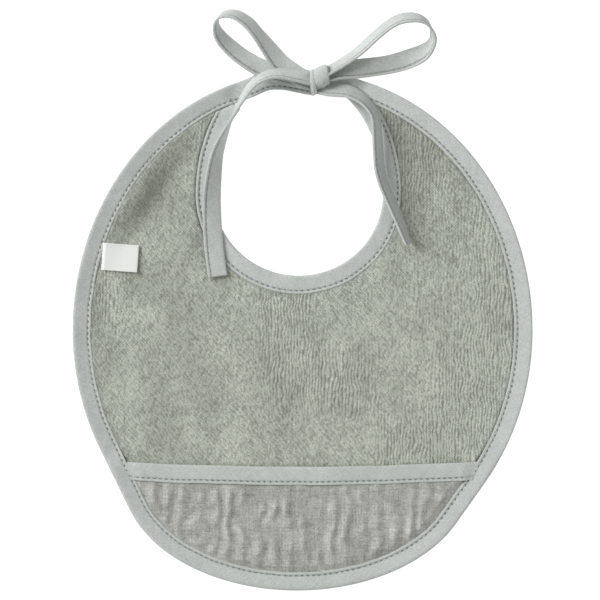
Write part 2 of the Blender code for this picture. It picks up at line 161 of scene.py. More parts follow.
def smooth_curve(points: np.ndarray, step: float) -> np.ndarray:
    """Return even stations on a smooth curve through a route's points.

    Args:
        points: The route.
        step: About the distance from one station to the next.

    Returns:
        The stations, with all the route's columns.
    """
    padded = np.vstack([2 * points[0] - points[1], points, 2 * points[-1] - points[-2]])
    curve = []
    for a, b, c, d in zip(padded, padded[1:], padded[2:], padded[3:]):
        for t in np.linspace(0.0, 1.0, CURVE_STEPS, endpoint=False):
            bend = (2 * a - 5 * b + 4 * c - d) * t**2 + (3 * b - a - 3 * c + d) * t**3
            curve.append((2 * b + (c - a) * t + bend) / 2)
    curve.append(points[-1])
    return resample(np.array(curve), step)


# Mesh helpers

MAP_SHARE = 0.98
BAND_SHARE = 0.97
CAP_PLACE = 0.992
CAP_STEP = 0.008
CAP_RADIUS = 0.003


def link_mesh(name: str, points: np.ndarray, faces: list[list[int]], closed: bool = True) -> Piece:
    """Make a smooth-shaded object of points and faces.

    Args:
        name: Name of the piece.
        points: Vertices, one row each.
        faces: Vertex numbers of each face.
        closed: Whether the faces enclose a body, which then gets its faces pointed out.

    Returns:
        The new object, linked to the scene.
    """
    mesh = bpy.data.meshes.new(name)
    mesh.from_pydata(points.reshape(-1, 3).tolist(), [], faces)
    if closed:
        bm = bmesh.new()
        bm.from_mesh(mesh)
        bmesh.ops.recalc_face_normals(bm, faces=bm.faces)
        bm.to_mesh(mesh)
        bm.free()
    mesh.shade_smooth()
    piece = bpy.data.objects.new(name, mesh)
    bpy.context.scene.collection.objects.link(piece)
    return piece


def vertex_places(piece: Piece) -> np.ndarray:
    """Read where a piece's vertices are.

    Args:
        piece: The piece.

    Returns:
        The vertices, one row each.
    """
    places = np.zeros((len(piece.data.vertices), 3), np.float32)
    piece.data.vertices.foreach_get("co", places.ravel())
    return places


def corner_owners(piece: Piece) -> np.ndarray:
    """Read which vertex is at each corner of a piece's faces.

    Args:
        piece: The piece.

    Returns:
        The vertex's number at each corner.
    """
    owners = np.zeros(len(piece.data.loops), int)
    piece.data.loops.foreach_get("vertex_index", owners)
    return owners


def write_shade(piece: Piece, name: str, values: np.ndarray) -> None:
    """Store a number per vertex that a finish reads."""
    attribute = piece.data.attributes.new(name, "FLOAT", "POINT")
    attribute.data.foreach_set("value", np.asarray(values, np.float32).ravel())


def write_lay(piece: Piece, along: np.ndarray, across: np.ndarray) -> None:
    """Store where each vertex lies on its cloth, so that a weave follows the cloth.

    Args:
        piece: The cloth.
        along: Each vertex's place along the cloth.
        across: Each vertex's place across it, of a shape that goes with the first one.
    """
    along, across = np.broadcast_arrays(along, across)
    lay = np.stack([along, across, np.zeros_like(along)], axis=-1)
    attribute = piece.data.attributes.new("lay", "FLOAT_VECTOR", "POINT")
    attribute.data.foreach_set("vector", lay.astype(np.float32).ravel())


def write_bias_lay(piece: Piece, along: np.ndarray, across: np.ndarray) -> None:
    """Store the lay of tape that is cut on the bias, with its yarns at 45 degrees to its length."""
    turned = math.sqrt(0.5)
    write_lay(piece, turned * (along + across), turned * (along - across))


def strip_map(piece: Piece, rows: int, around: int, folds: int) -> None:
    """Give a skinned strip a texture map: its length in a few bands, one above another.

    Args:
        piece: A skin with its quads in order, and then its end caps.
        rows: Steps along the strip.
        around: Steps round its section.
        folds: Number of bands.
    """
    layer = piece.data.uv_layers.new(name=BAKE_MAP)
    per_band = math.ceil(rows / folds)
    owners = corner_owners(piece)
    corners = np.zeros((len(owners), 2), np.float32)
    at = 0
    for polygon in piece.data.polygons:
        span = slice(at, at + polygon.loop_total)
        at = span.stop
        cap = polygon.index - rows * around
        if cap >= 0:
            turn = np.linspace(0.0, 2 * math.pi, polygon.loop_total, endpoint=False)
            corners[span, 0] = CAP_PLACE - CAP_STEP * cap + CAP_RADIUS * np.cos(turn)
            corners[span, 1] = CAP_PLACE + CAP_RADIUS * np.sin(turn)
            continue
        row, step = divmod(polygon.index, around)
        band, place = divmod(row, per_band)
        ahead = (owners[span] // around != row) * 1.0
        beside = (owners[span] % around != step) * 1.0
        corners[span, 0] = MAP_SHARE * (place + ahead) / per_band
        corners[span, 1] = MAP_SHARE * (band + BAND_SHARE * (step + beside) / around) / folds
    layer.uv.foreach_set("vector", corners.ravel())


def quads_between(here: np.ndarray, ahead: np.ndarray) -> list[list[int]]:
    """Return the faces between closed rows of vertex numbers and the rows that follow them."""
    corners = [here, np.roll(here, -1, axis=-1), np.roll(ahead, -1, axis=-1), ahead]
    return np.stack(corners, axis=-1).reshape(-1, 4).tolist()


def skin(name: str, sections: np.ndarray, ring: bool = False, folds: int = 1) -> Piece:
    """Skin a row of closed sections into one body.

    Args:
        name: Name of the piece.
        sections: Points as (stations, points round, 3).
        ring: Whether the last section meets the first one, so that there are no ends to cap.
        folds: Bands of the texture map.

    Returns:
        The new object.
    """
    count, around = sections.shape[:2]
    index = np.arange(count * around).reshape(count, around)
    here = index if ring else index[:-1]
    faces = quads_between(here, np.roll(index, -1, axis=0) if ring else index[1:])
    if not ring:
        faces += [index[0][::-1].tolist(), index[-1].tolist()]
    piece = link_mesh(name, sections, faces)
    strip_map(piece, len(here), around, folds)
    return piece


def two_faced(flat: np.ndarray, first: np.ndarray, second: np.ndarray) -> np.ndarray:
    """Return a cloth's sections: out along the heights of one face, and back along those of the other."""
    out, back = (np.concatenate([flat, height[..., None]], axis=-1) for height in (first, second))
    return np.concatenate([out, back[:, ::-1]], axis=1)


# Stitches

STITCH_STATIONS = np.array([0.0, 0.08, 0.28, 0.5, 0.72, 0.92, 1.0])
STITCH_THICKNESS = np.array([0.35, 0.75, 1.0, 1.0, 1.0, 0.75, 0.35])
STITCH_LAY = (0.4 * MM, 0.2 * MM)


@dataclass
class Seam:
    """A row of lockstitches that follows stations on a cloth surface."""

    place: np.ndarray
    side: np.ndarray
    up: np.ndarray
    pitch: float = 3.15 * MM
    share: float = 0.50
    radius: float = 0.27 * MM
    slant: float = 0.22 * MM
    dip: float = 0.28 * MM
    start_spread: float = 0.05
    slant_spread: float = 0.4
    around: int = 7
    seed: int = 5

    def rings(self) -> np.ndarray:
        """Return the stitches' points.

        Returns:
            The points as (stitches, stations, points round, 3).
        """
        along = run_lengths(self.place)
        draw = np.random.default_rng(self.seed)
        count = int((along[-1] - self.pitch) / self.pitch)
        early = draw.uniform(-self.start_spread, self.start_spread, count)
        starts = self.pitch * (0.5 + np.arange(count)) + early * self.pitch
        where = starts[:, None] + STITCH_STATIONS * self.pitch * self.share
        place, side, up = (read_rows(where, along, rows) for rows in (self.place, self.side, self.up))
        uneven = 1.0 + draw.uniform(-self.slant_spread, self.slant_spread, (count, 1))
        lean = (STITCH_STATIONS - 0.5) * self.slant * uneven
        sink = self.dip * np.abs(2 * STITCH_STATIONS - 1.0) ** 3
        place = place + side * lean[..., None] - up * sink[:, None]
        turn = np.linspace(0.0, 2 * math.pi, self.around, endpoint=False)[:, None]
        out = side[:, :, None] * np.cos(turn) + up[:, :, None] * np.sin(turn)
        return place[:, :, None] + out * (self.radius * STITCH_THICKNESS)[:, None, None]


def stitch_rows(name: str, seams: list[Seam]) -> Piece:
    """Make one piece of all the stitches of a few seams.

    Args:
        name: Name of the piece.
        seams: The seams.

    Returns:
        The stitches, not dressed yet.
    """
    rings = np.concatenate([seam.rings() for seam in seams])
    count, stations, around = rings.shape[:3]
    index = np.arange(count * stations * around).reshape(count, stations, around)
    caps = index[:, 0, ::-1].tolist() + index[:, -1].tolist()
    piece = link_mesh(name, rings, quads_between(index[:, :-1], index[:, 1:]) + caps)
    along, across = (step * np.arange(number) for step, number in zip(STITCH_LAY, (stations, around)))
    write_lay(piece, np.broadcast_to(along[:, None], index.shape), across)
    return piece


# Finishes


def add_node(tree: Tree, kind: str, **settings: object) -> bpy.types.Node:
    """Add a node and set its own properties.

    Args:
        tree: The nodes of a material or a group.
        kind: Type of the node.
        **settings: Values of its properties.

    Returns:
        The new node.
    """
    node = tree.nodes.new(kind)
    for key, value in settings.items():
        setattr(node, key, value)
    return node


def maths(tree: Tree, operation: str, *values: Socket | float) -> Socket:
    """Add a Math node.

    Args:
        tree: The nodes of a material or a group.
        operation: What the node does.
        *values: Its inputs, each a number or a socket.

    Returns:
        The node's output.
    """
    node = add_node(tree, "ShaderNodeMath", operation=operation)
    for socket, value in zip(node.inputs, values):
        if isinstance(value, (int, float)):
            socket.default_value = value
        else:
            tree.links.new(value, socket)
    return node.outputs[0]


def blend_colours(tree: Tree, share: Socket, low: tuple | Socket, high: tuple | Socket) -> Socket:
    """Mix two colours, given as numbers or sockets, by a share that changes over the surface.

    Args:
        tree: The material's nodes.
        share: Socket with the share of the second colour.
        low: First colour.
        high: Second colour.

    Returns:
        The mixed colour's socket.
    """
    node = add_node(tree, "ShaderNodeMix", data_type="RGBA")
    tree.links.new(share, node.inputs["Factor"])
    for socket, value in zip((node.inputs[6], node.inputs[7]), (low, high)):
        if isinstance(value, tuple):
            socket.default_value = (*value, 1.0)
        else:
            tree.links.new(value, socket)
    return node.outputs[2]


class ClothGroups:
    """The shared effects: a plain weave, and loose fibre."""

    slub_stretches = ((0.07, 0.9, 1.0), (0.9, 0.07, 1.0))
    crossing_height = 0.32
    slub_height = 0.5
    base_height = 0.25
    fibre_detail = {"Fuzz": 3.0, "Patch": 2.0}
    fibre_roughness = 0.6

    @staticmethod
    def new_group(name: str, inputs: dict[str, float | None], outputs: list[str]) -> Tree:
        """Make an empty shader group with named sockets.

        Args:
            name: Name of the group.
            inputs: Each input's first value, or None for a vector.
            outputs: Names of the outputs, which are numbers.

        Returns:
            The new group.
        """
        group = bpy.data.node_groups.new(name, "ShaderNodeTree")
        for label, value in inputs.items():
            kind = "NodeSocketVector" if value is None else "NodeSocketFloat"
            socket = group.interface.new_socket(label, in_out="INPUT", socket_type=kind)
            if value is not None:
                socket.default_value = value
        for label in outputs:
            group.interface.new_socket(label, in_out="OUTPUT", socket_type="NodeSocketFloat")
        return group

    @classmethod
    def weave(cls) -> Tree:
        """Give the plain weave: yarns that pass over and under, with thicker and thinner stretches.

        Returns:
            The group, made on its first use.
        """
        found = bpy.data.node_groups.get("plain_weave")
        if found:
            return found
        group = cls.new_group("plain_weave", {"Vector": None, "Yarns": 1800.0}, ["Height", "Slub"])
        source = add_node(group, "NodeGroupInput")
        sink = add_node(group, "NodeGroupOutput")
        scaled = add_node(group, "ShaderNodeVectorMath", operation="SCALE")
        group.links.new(source.outputs["Vector"], scaled.inputs[0])
        group.links.new(source.outputs["Yarns"], scaled.inputs["Scale"])
        parts = add_node(group, "ShaderNodeSeparateXYZ")
        group.links.new(scaled.outputs[0], parts.inputs[0])
        waves = [maths(group, "SINE", maths(group, "MULTIPLY", parts.outputs[i], math.pi)) for i in (0, 1)]
        slubs = []
        for stretch in cls.slub_stretches:
            stretched = add_node(group, "ShaderNodeVectorMath", operation="MULTIPLY")
            group.links.new(scaled.outputs[0], stretched.inputs[0])
            stretched.inputs[1].default_value = stretch
            noise = add_node(group, "ShaderNodeTexNoise", noise_dimensions="2D")
            noise.inputs["Scale"].default_value = 1.0
            noise.inputs["Detail"].default_value = 1.0
            group.links.new(stretched.outputs[0], noise.inputs["Vector"])
            slubs.append(noise.outputs["Fac"])
        slub = maths(group, "MULTIPLY", maths(group, "ADD", *slubs), 0.5)
        rise = maths(group, "MULTIPLY_ADD", slub, cls.slub_height, cls.base_height)
        crossing = maths(group, "MULTIPLY", *waves)
        height = maths(group, "MULTIPLY_ADD", crossing, cls.crossing_height, rise)
        group.links.new(height, sink.inputs["Height"])
        group.links.new(slub, sink.inputs["Slub"])
        return group

    @classmethod
    def fibre(cls) -> Tree:
        """Give loose fibre: fine fuzz, and broad patches where dye and nap differ.

        Returns:
            The group, made on its first use.
        """
        found = bpy.data.node_groups.get("loose_fibre")
        if found:
            return found
        scales = {"Vector": None, "Fuzz Scale": 2500.0, "Patch Scale": 28.0}
        group = cls.new_group("loose_fibre", scales, ["Fuzz", "Patch"])
        source = add_node(group, "NodeGroupInput")
        sink = add_node(group, "NodeGroupOutput")
        for label, detail in cls.fibre_detail.items():
            noise = add_node(group, "ShaderNodeTexNoise")
            noise.inputs["Detail"].default_value = detail
            noise.inputs["Roughness"].default_value = cls.fibre_roughness
            group.links.new(source.outputs["Vector"], noise.inputs["Vector"])
            group.links.new(source.outputs[f"{label} Scale"], noise.inputs["Scale"])
            group.links.new(noise.outputs["Fac"], sink.inputs[label])
        return group


@dataclass(frozen=True)
class ClothFinish:
    """One cloth's look: its colours, yarn and nap, and the record's slot that it stands for."""

    name: str
    slot: Slot
    light: tuple[float, float, float]
    dark: tuple[float, float, float]
    yarns: float
    patch: float = 28.0
    fuzz: float = 2500.0
    # Name of the stored attribute with the painted shade, if any.
    shade: str = ""
    shade_depth: float = 0.52
    slub_share: float = 0.5
    patch_share: float = 0.25
    contrast: float = 1.0
    bump: float = 0.35
    bump_depth: float = 0.12 * MM
    fuzz_height: float = 0.35
    roughness: tuple[float, float] = (0.80, 0.95)
    sheen: float = 0.12
    sheen_roughness: float = 0.5
    specular: float = 0.25
    stretch: tuple[float, float, float] = (1.0, 1.0, 1.0)
    follows_lay: bool = True

    def material(self) -> bpy.types.Material:
        """Give the finish's material.

        Returns:
            The material, made on its first use.
        """
        found = bpy.data.materials.get(self.name)
        if found:
            return found
        material = bpy.data.materials.new(self.name)
        material.use_nodes = True
        tree = material.node_tree
        shader = tree.nodes["Principled BSDF"]
        fibre = self.add_fibre(tree)
        fuzz = fibre.outputs["Fuzz"]
        weave = add_node(tree, "ShaderNodeGroup", node_tree=ClothGroups.weave())
        weave.inputs["Yarns"].default_value = self.yarns
        tree.links.new(self.coordinates(tree), weave.inputs["Vector"])

        fuzz_share = 1.0 - self.slub_share - self.patch_share
        body = maths(tree, "MULTIPLY", weave.outputs["Slub"], self.slub_share)
        body = maths(tree, "MULTIPLY_ADD", fibre.outputs["Patch"], self.patch_share, body)
        body = maths(tree, "MULTIPLY_ADD", fuzz, fuzz_share, body)
        body = maths(tree, "MULTIPLY_ADD", body, self.contrast, 0.5 - 0.5 * self.contrast)
        colour = blend_colours(tree, body, self.dark, self.light)
        if self.shade:
            colour = self.shaded(tree, colour)
        tree.links.new(colour, shader.inputs["Base Color"])
        low, high = self.roughness
        tree.links.new(maths(tree, "MULTIPLY_ADD", fuzz, high - low, low), shader.inputs["Roughness"])
        bump = add_node(tree, "ShaderNodeBump")
        bump.inputs["Strength"].default_value = self.bump
        bump.inputs["Distance"].default_value = self.bump_depth
        height = maths(tree, "MULTIPLY_ADD", fuzz, self.fuzz_height, weave.outputs["Height"])
        tree.links.new(height, bump.inputs["Height"])
        tree.links.new(bump.outputs["Normal"], shader.inputs["Normal"])
        shader.inputs["Sheen Weight"].default_value = self.sheen
        shader.inputs["Sheen Roughness"].default_value = self.sheen_roughness
        shader.inputs["Specular IOR Level"].default_value = self.specular
        return material

    def add_fibre(self, tree: Tree) -> bpy.types.Node:
        """Add the loose fibre, which lies in the object's axes.

        Args:
            tree: The material's nodes.

        Returns:
            The group's node.
        """
        fibre = add_node(tree, "ShaderNodeGroup", node_tree=ClothGroups.fibre())
        fibre.inputs["Fuzz Scale"].default_value = self.fuzz
        fibre.inputs["Patch Scale"].default_value = self.patch
        where = add_node(tree, "ShaderNodeTexCoord")
        stretched = add_node(tree, "ShaderNodeVectorMath", operation="MULTIPLY")
        tree.links.new(where.outputs["Object"], stretched.inputs[0])
        stretched.inputs[1].default_value = self.stretch
        tree.links.new(stretched.outputs[0], fibre.inputs["Vector"])
        return fibre

    def coordinates(self, tree: Tree) -> Socket:
        """Place the weave by the cloth's own lay, or by the object's axes.

        Args:
            tree: The material's nodes.

        Returns:
            The socket with the place.
        """
        if self.follows_lay:
            return add_node(tree, "ShaderNodeAttribute", attribute_name="lay").outputs["Vector"]
        return add_node(tree, "ShaderNodeTexCoord").outputs["Object"]

    def shaded(self, tree: Tree, colour: Socket) -> Socket:
        """Paint shade into the cloth's colour where its stored shade is low, as between loops or in a seam.

        Args:
            tree: The material's nodes.
            colour: The cloth's colour so far.

        Returns:
            The darkened colour.
        """
        stored = add_node(tree, "ShaderNodeAttribute", attribute_name=self.shade)
        depth = tuple(self.shade_depth * value for value in self.dark)
        return blend_colours(tree, stored.outputs["Fac"], depth, colour)


# The terry and the gauze read their painted shade from the pile attribute, the tape from the open one.
TERRY = ClothFinish(
    "sage_terry", Slot.TERRY, (0.860, 0.914, 0.792), (0.157, 0.1725, 0.1435), yarns=1300.0, patch=60.0,
    fuzz=1800.0, shade="pile", slub_share=0.06, patch_share=0.16, contrast=1.6, bump=0.9,
    bump_depth=0.30 * MM, roughness=(0.88, 1.0), sheen=0.2, stretch=(1.0, 0.7, 1.0), follows_lay=False,
)
GAUZE = ClothFinish(
    "sage_gauze", Slot.MUSLIN, (0.92, 0.925, 0.855), (0.04, 0.041, 0.037), yarns=1250.0, patch=60.0,
    fuzz=1050.0, shade="pile", slub_share=0.32, patch_share=0.16, contrast=1.5, bump=0.9,
    bump_depth=0.28 * MM, roughness=(0.85, 1.0), follows_lay=False,
)
TAPE = ClothFinish(
    "sage_tape", Slot.TAPE, (0.818, 0.864, 0.831), (0.214, 0.230, 0.220), yarns=1700.0, patch=45.0,
    fuzz=1900.0, shade="open", slub_share=0.26, patch_share=0.12, contrast=1.3, bump=0.5,
    bump_depth=0.14 * MM,
)
# Sage thread, painted darker than its own colour to stand for the shade in its stitch grooves and needle
# holes.
THREAD = ClothFinish(
    "sage_thread", Slot.THREAD, (0.27, 0.29, 0.27), (0.14, 0.152, 0.14), yarns=2600.0, fuzz=4000.0,
    bump=0.5, bump_depth=0.10 * MM, roughness=(0.65, 0.85),
)
LABEL = ClothFinish(
    "white_label", Slot.LABEL, (0.85, 0.87, 0.835), (0.70, 0.72, 0.685), yarns=2600.0, patch=60.0,
    bump=0.3, bump_depth=0.06 * MM, roughness=(0.55, 0.75), sheen=0.05,
)


def dress(piece: Piece, finish: ClothFinish, *nodes: str) -> Piece:
    """Give a piece its finish, and hide the CAD nodes that it stands for.

    Args:
        piece: The piece.
        finish: Its finish.
        *nodes: The CAD nodes that it stands for, if any.

    Returns:
        The same piece.
    """
    piece.data.materials.append(finish.material())
    if nodes:
        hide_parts(*nodes)
    stands_for = ", ".join(nodes) or "no node of its own"
    LOG.info("%s: %d vertices, for %s", piece.name, len(piece.data.vertices), stands_for)
    return piece


# The cut


@dataclass
class BibPattern:
    """The bib's cut: its rim, its neck opening, its levels and the width of its tape."""

    body_half_width: float = 0.1247
    body_rise: float = 0.1402
    body_drop: float = 0.1360
    foot_centre: tuple[float, float] = (-0.0030, -0.0777)
    foot_half_width: float = 0.0954
    foot_drop: float = 0.0636
    neck_centre: tuple[float, float] = (-0.0022, 0.0739)
    neck_half_width: float = 0.0457
    neck_top_inset: float = 0.0027
    neck_drop: float = 0.0443
    strap_end_width: float = 0.0146
    strap_tip_width: float = 0.0108
    leaf: float = 0.0100
    front_low: float = 1.10 * MM
    front_high: float = 4.15 * MM
    pocket_top: float = -0.0712
    pocket_sag: float = 0.0027
    lip: float = 0.0106
    steps: int = 2880
    strap_steps: int = 181

    def rim(self) -> np.ndarray:
        """Give the outer edge: the hull of the round body and the foot.

        Returns:
            Its points, from the top and anticlockwise.
        """
        turn = np.linspace(math.pi / 2, math.pi * 5 / 2, self.steps)
        ahead = np.column_stack([np.cos(turn), np.sin(turn)])
        body_height = np.where(ahead[:, 1] > 0, self.body_rise, self.body_drop)
        halves = [
            (np.zeros(2), np.column_stack([np.full(self.steps, self.body_half_width), body_height])),
            (np.array(self.foot_centre), np.array([[self.foot_half_width, self.foot_drop]])),
        ]
        points = []
        for centre, half in halves:
            reach = np.linalg.norm(half * ahead, axis=1)[:, None]
            points.append(centre + half**2 * ahead / reach)
        furthest = np.argmax([np.sum(point * ahead, axis=1) for point in points], axis=0)
        return np.where(furthest[:, None] == 0, points[0], points[1])

    def neck_halves(self, turn: np.ndarray) -> np.ndarray:
        """Find the half width and the half height of the neck opening.

        Args:
            turn: Directions from its middle.

        Returns:
            The two halves in each direction.
        """
        rise = self.body_rise - self.neck_top_inset - self.neck_centre[1]
        height = np.where(np.sin(turn) > 0, rise, self.neck_drop)
        return np.column_stack([np.full(len(turn), self.neck_half_width), height])

    def neck_points(self, turn: np.ndarray) -> np.ndarray:
        """Return the neck edge's points in directions from the neck's middle."""
        ahead = np.column_stack([np.cos(turn), np.sin(turn)])
        return self.neck_centre + ahead / np.linalg.norm(ahead / self.neck_halves(turn), axis=1)[:, None]

    def neck(self) -> np.ndarray:
        """Return the neck edge from the top, anticlockwise."""
        return self.neck_points(np.linspace(math.pi / 2, math.pi * 5 / 2, self.steps))

    def strap_turn(self, width: float) -> float:
        """Find how far up the left strap, as seen from the neck's middle, it narrows to a width.

        Args:
            width: The strap's width.

        Returns:
            The angle above the level through the neck's middle.
        """
        turns = np.linspace(0.0, math.pi / 2, self.strap_steps)
        rim = self.rim()
        widths = [np.min(np.linalg.norm(rim - place, axis=1)) for place in self.neck_points(math.pi - turns)]
        return float(np.interp(-width, -np.array(widths), turns))

    def strap_to_strap(self, edge: np.ndarray, width: float, step: float) -> np.ndarray:
        """Cut an edge off where the straps narrow to a width.

        Args:
            edge: The rim or the neck edge.
            width: The strap's width at both ends.
            step: About the distance from one point to the next.

        Returns:
            The edge from the left strap to the right one, at even steps.
        """
        offset = edge - self.neck_centre
        turn = np.unwrap(np.arctan2(offset[:, 1], offset[:, 0]))
        turn += 2 * math.pi * round((math.pi / 2 - turn[0]) / (2 * math.pi))
        end = self.strap_turn(width)
        wanted = np.linspace(math.pi - end, 2 * math.pi + end, self.steps)
        return resample(read_rows(wanted, turn, edge), step)

    def mouth(self, x: np.ndarray, half_span: float) -> np.ndarray:
        """Return the y of the pocket mouth's fold at x: it sags to the middle."""
        share = np.minimum(np.abs(x - self.foot_centre[0]) / half_span, 1.0)
        return self.pocket_top - self.pocket_sag * (1.0 - share**2)


class EdgeGauge:
    """Measures how far points lie inside an edge."""

    def __init__(self, edge: np.ndarray, inward: np.ndarray) -> None:
        """Keep an edge.

        Args:
            edge: Points of the edge, one row each.
            inward: Directions in which its cloth lies.
        """
        self.edge, self.inward = edge, inward
        self.tree = KDTree(len(edge))
        for number, point in enumerate(edge):
            self.tree.insert((point[0], point[1], 0.0), number)
        self.tree.balance()

    def depth(self, points: np.ndarray) -> np.ndarray:
        """Return each point's distance inside the edge, negative outside."""
        nearest = np.array([self.tree.find((x, y, 0.0))[1] for x, y in points])
        return np.sum((points - self.edge[nearest]) * self.inward[nearest], axis=1)


# Cloth panels


@dataclass
class ClothLie:
    """How the laid cloth rises and falls: broad waves, one soft fold, and a rim that curls up a little; and
    the shade and light that are painted on its pile.
    """

    wave: float = 0.45 * MM
    waves: Layers = ((1.0, (0.030, 0.038), 11), (0.5, (0.014, 0.019), 12))
    fold: float = 2.6 * MM
    fold_start: tuple[float, float] = (-0.0620, 0.1040)
    fold_end: tuple[float, float] = (-0.1010, 0.0480)
    fold_half_width: float = 0.0078
    fold_full: float = 1.2
    fold_fade: float = 1.6
    # Painted shade on the fold's flank.
    fold_painted_shade: float = 0.50
    # Painted shade by the right strap.
    strap_place: tuple[float, float] = (0.0600, 0.0980)
    strap_reach: tuple[float, float] = (0.0260, 0.0320)
    strap_painted_shade: float = 0.33
    # Painted light on the right side and painted shade on the left side.
    right_painted_light: float = 0.09
    right_from: float = 0.02
    right_run: float = 0.06
    left_painted_shade: float = 0.08
    left_from: float = -0.03
    left_run: float = 0.05
    patch_cell: Cell = (0.011, 0.021)
    patch_depth: float = 0.13
    left_patch_depth: float = 0.09
    patch_seed: int = 13
    curl: float = 0.8 * MM
    side_curl: float = 1.5 * MM
    curl_reach: float = 0.024
    curl_from: float = 0.035
    curl_full: float = 0.085

    def beside_fold(self, points: np.ndarray) -> tuple[np.ndarray, np.ndarray]:
        """Find how points lie to the soft fold.

        Args:
            points: Places on the cloth.

        Returns:
            How much of the fold runs past each point, and how far inside the fold the point lies.
        """
        start, end = np.array(self.fold_start), np.array(self.fold_end)
        length = np.linalg.norm(end - start)
        run = (end - start) / length
        along = (points - start) @ run
        past = ease(self.fold_full - np.abs(along / length - 0.5) * self.fold_fade)
        return past, (points - start) @ np.array([-run[1], run[0]])

    def height(self, points: np.ndarray) -> np.ndarray:
        """Find how far the terry stands above its flat lie.

        Args:
            points: Places on the cloth.

        Returns:
            The rise at each place.
        """
        span, inner = self.beside_fold(points)
        fold = self.fold * span * ease(0.5 - inner / (2 * self.fold_half_width))
        return self.wave * (0.5 + 0.5 * layered_noise(points, self.waves)) + fold

    def painted_shade_and_tone(self, points: np.ndarray) -> np.ndarray:
        """Find the painted shade and light on the pile: painted shade on the fold's flank that faces from the
        light, by the right strap and on the left side, painted light on the right side, and random patches of
        tone.

        Args:
            points: Places on the cloth.

        Returns:
            The pile's lightness, about 1, at each place.
        """
        span, inner = self.beside_fold(points)
        # Painted shade on the fold's flank and by the right strap.
        flank = span * np.exp(-((inner / self.fold_half_width) ** 2))
        strap = np.exp(-np.sum(((points - self.strap_place) / self.strap_reach) ** 2, axis=1))
        x, y = points.T
        left = ease((self.left_from - x) / self.left_run)
        right = ease((x - self.right_from) / self.right_run)
        # Painted light on the right side, painted shade on the left side, and random patches of tone.
        side = self.right_painted_light * right - self.left_painted_shade * left
        depth = self.patch_depth + self.left_patch_depth * left
        patches = depth * lattice_noise(x, y, self.patch_cell, self.patch_seed)
        return (1.0 - self.fold_painted_shade * flank - self.strap_painted_shade * strap) * (1.0 + side + patches)

    def settle(self, piece: Piece, rim_gauge: EdgeGauge) -> Piece:
        """Raise a piece's points where the rim curls up from the floor.

        Args:
            piece: A piece of the flat bib.
            rim_gauge: Gauge of the outer edge.

        Returns:
            The same piece.
        """
        places = vertex_places(piece)
        side = ease((np.abs(places[:, 0]) - self.curl_from) / (self.curl_full - self.curl_from))
        near = np.clip(1.0 - rim_gauge.depth(places[:, :2]) / self.curl_reach, 0.0, 1.0)
        places[:, 2] += (self.curl + self.side_curl * side) * near**2
        piece.data.vertices.foreach_set("co", places.ravel())
        piece.data.update()
        return piece


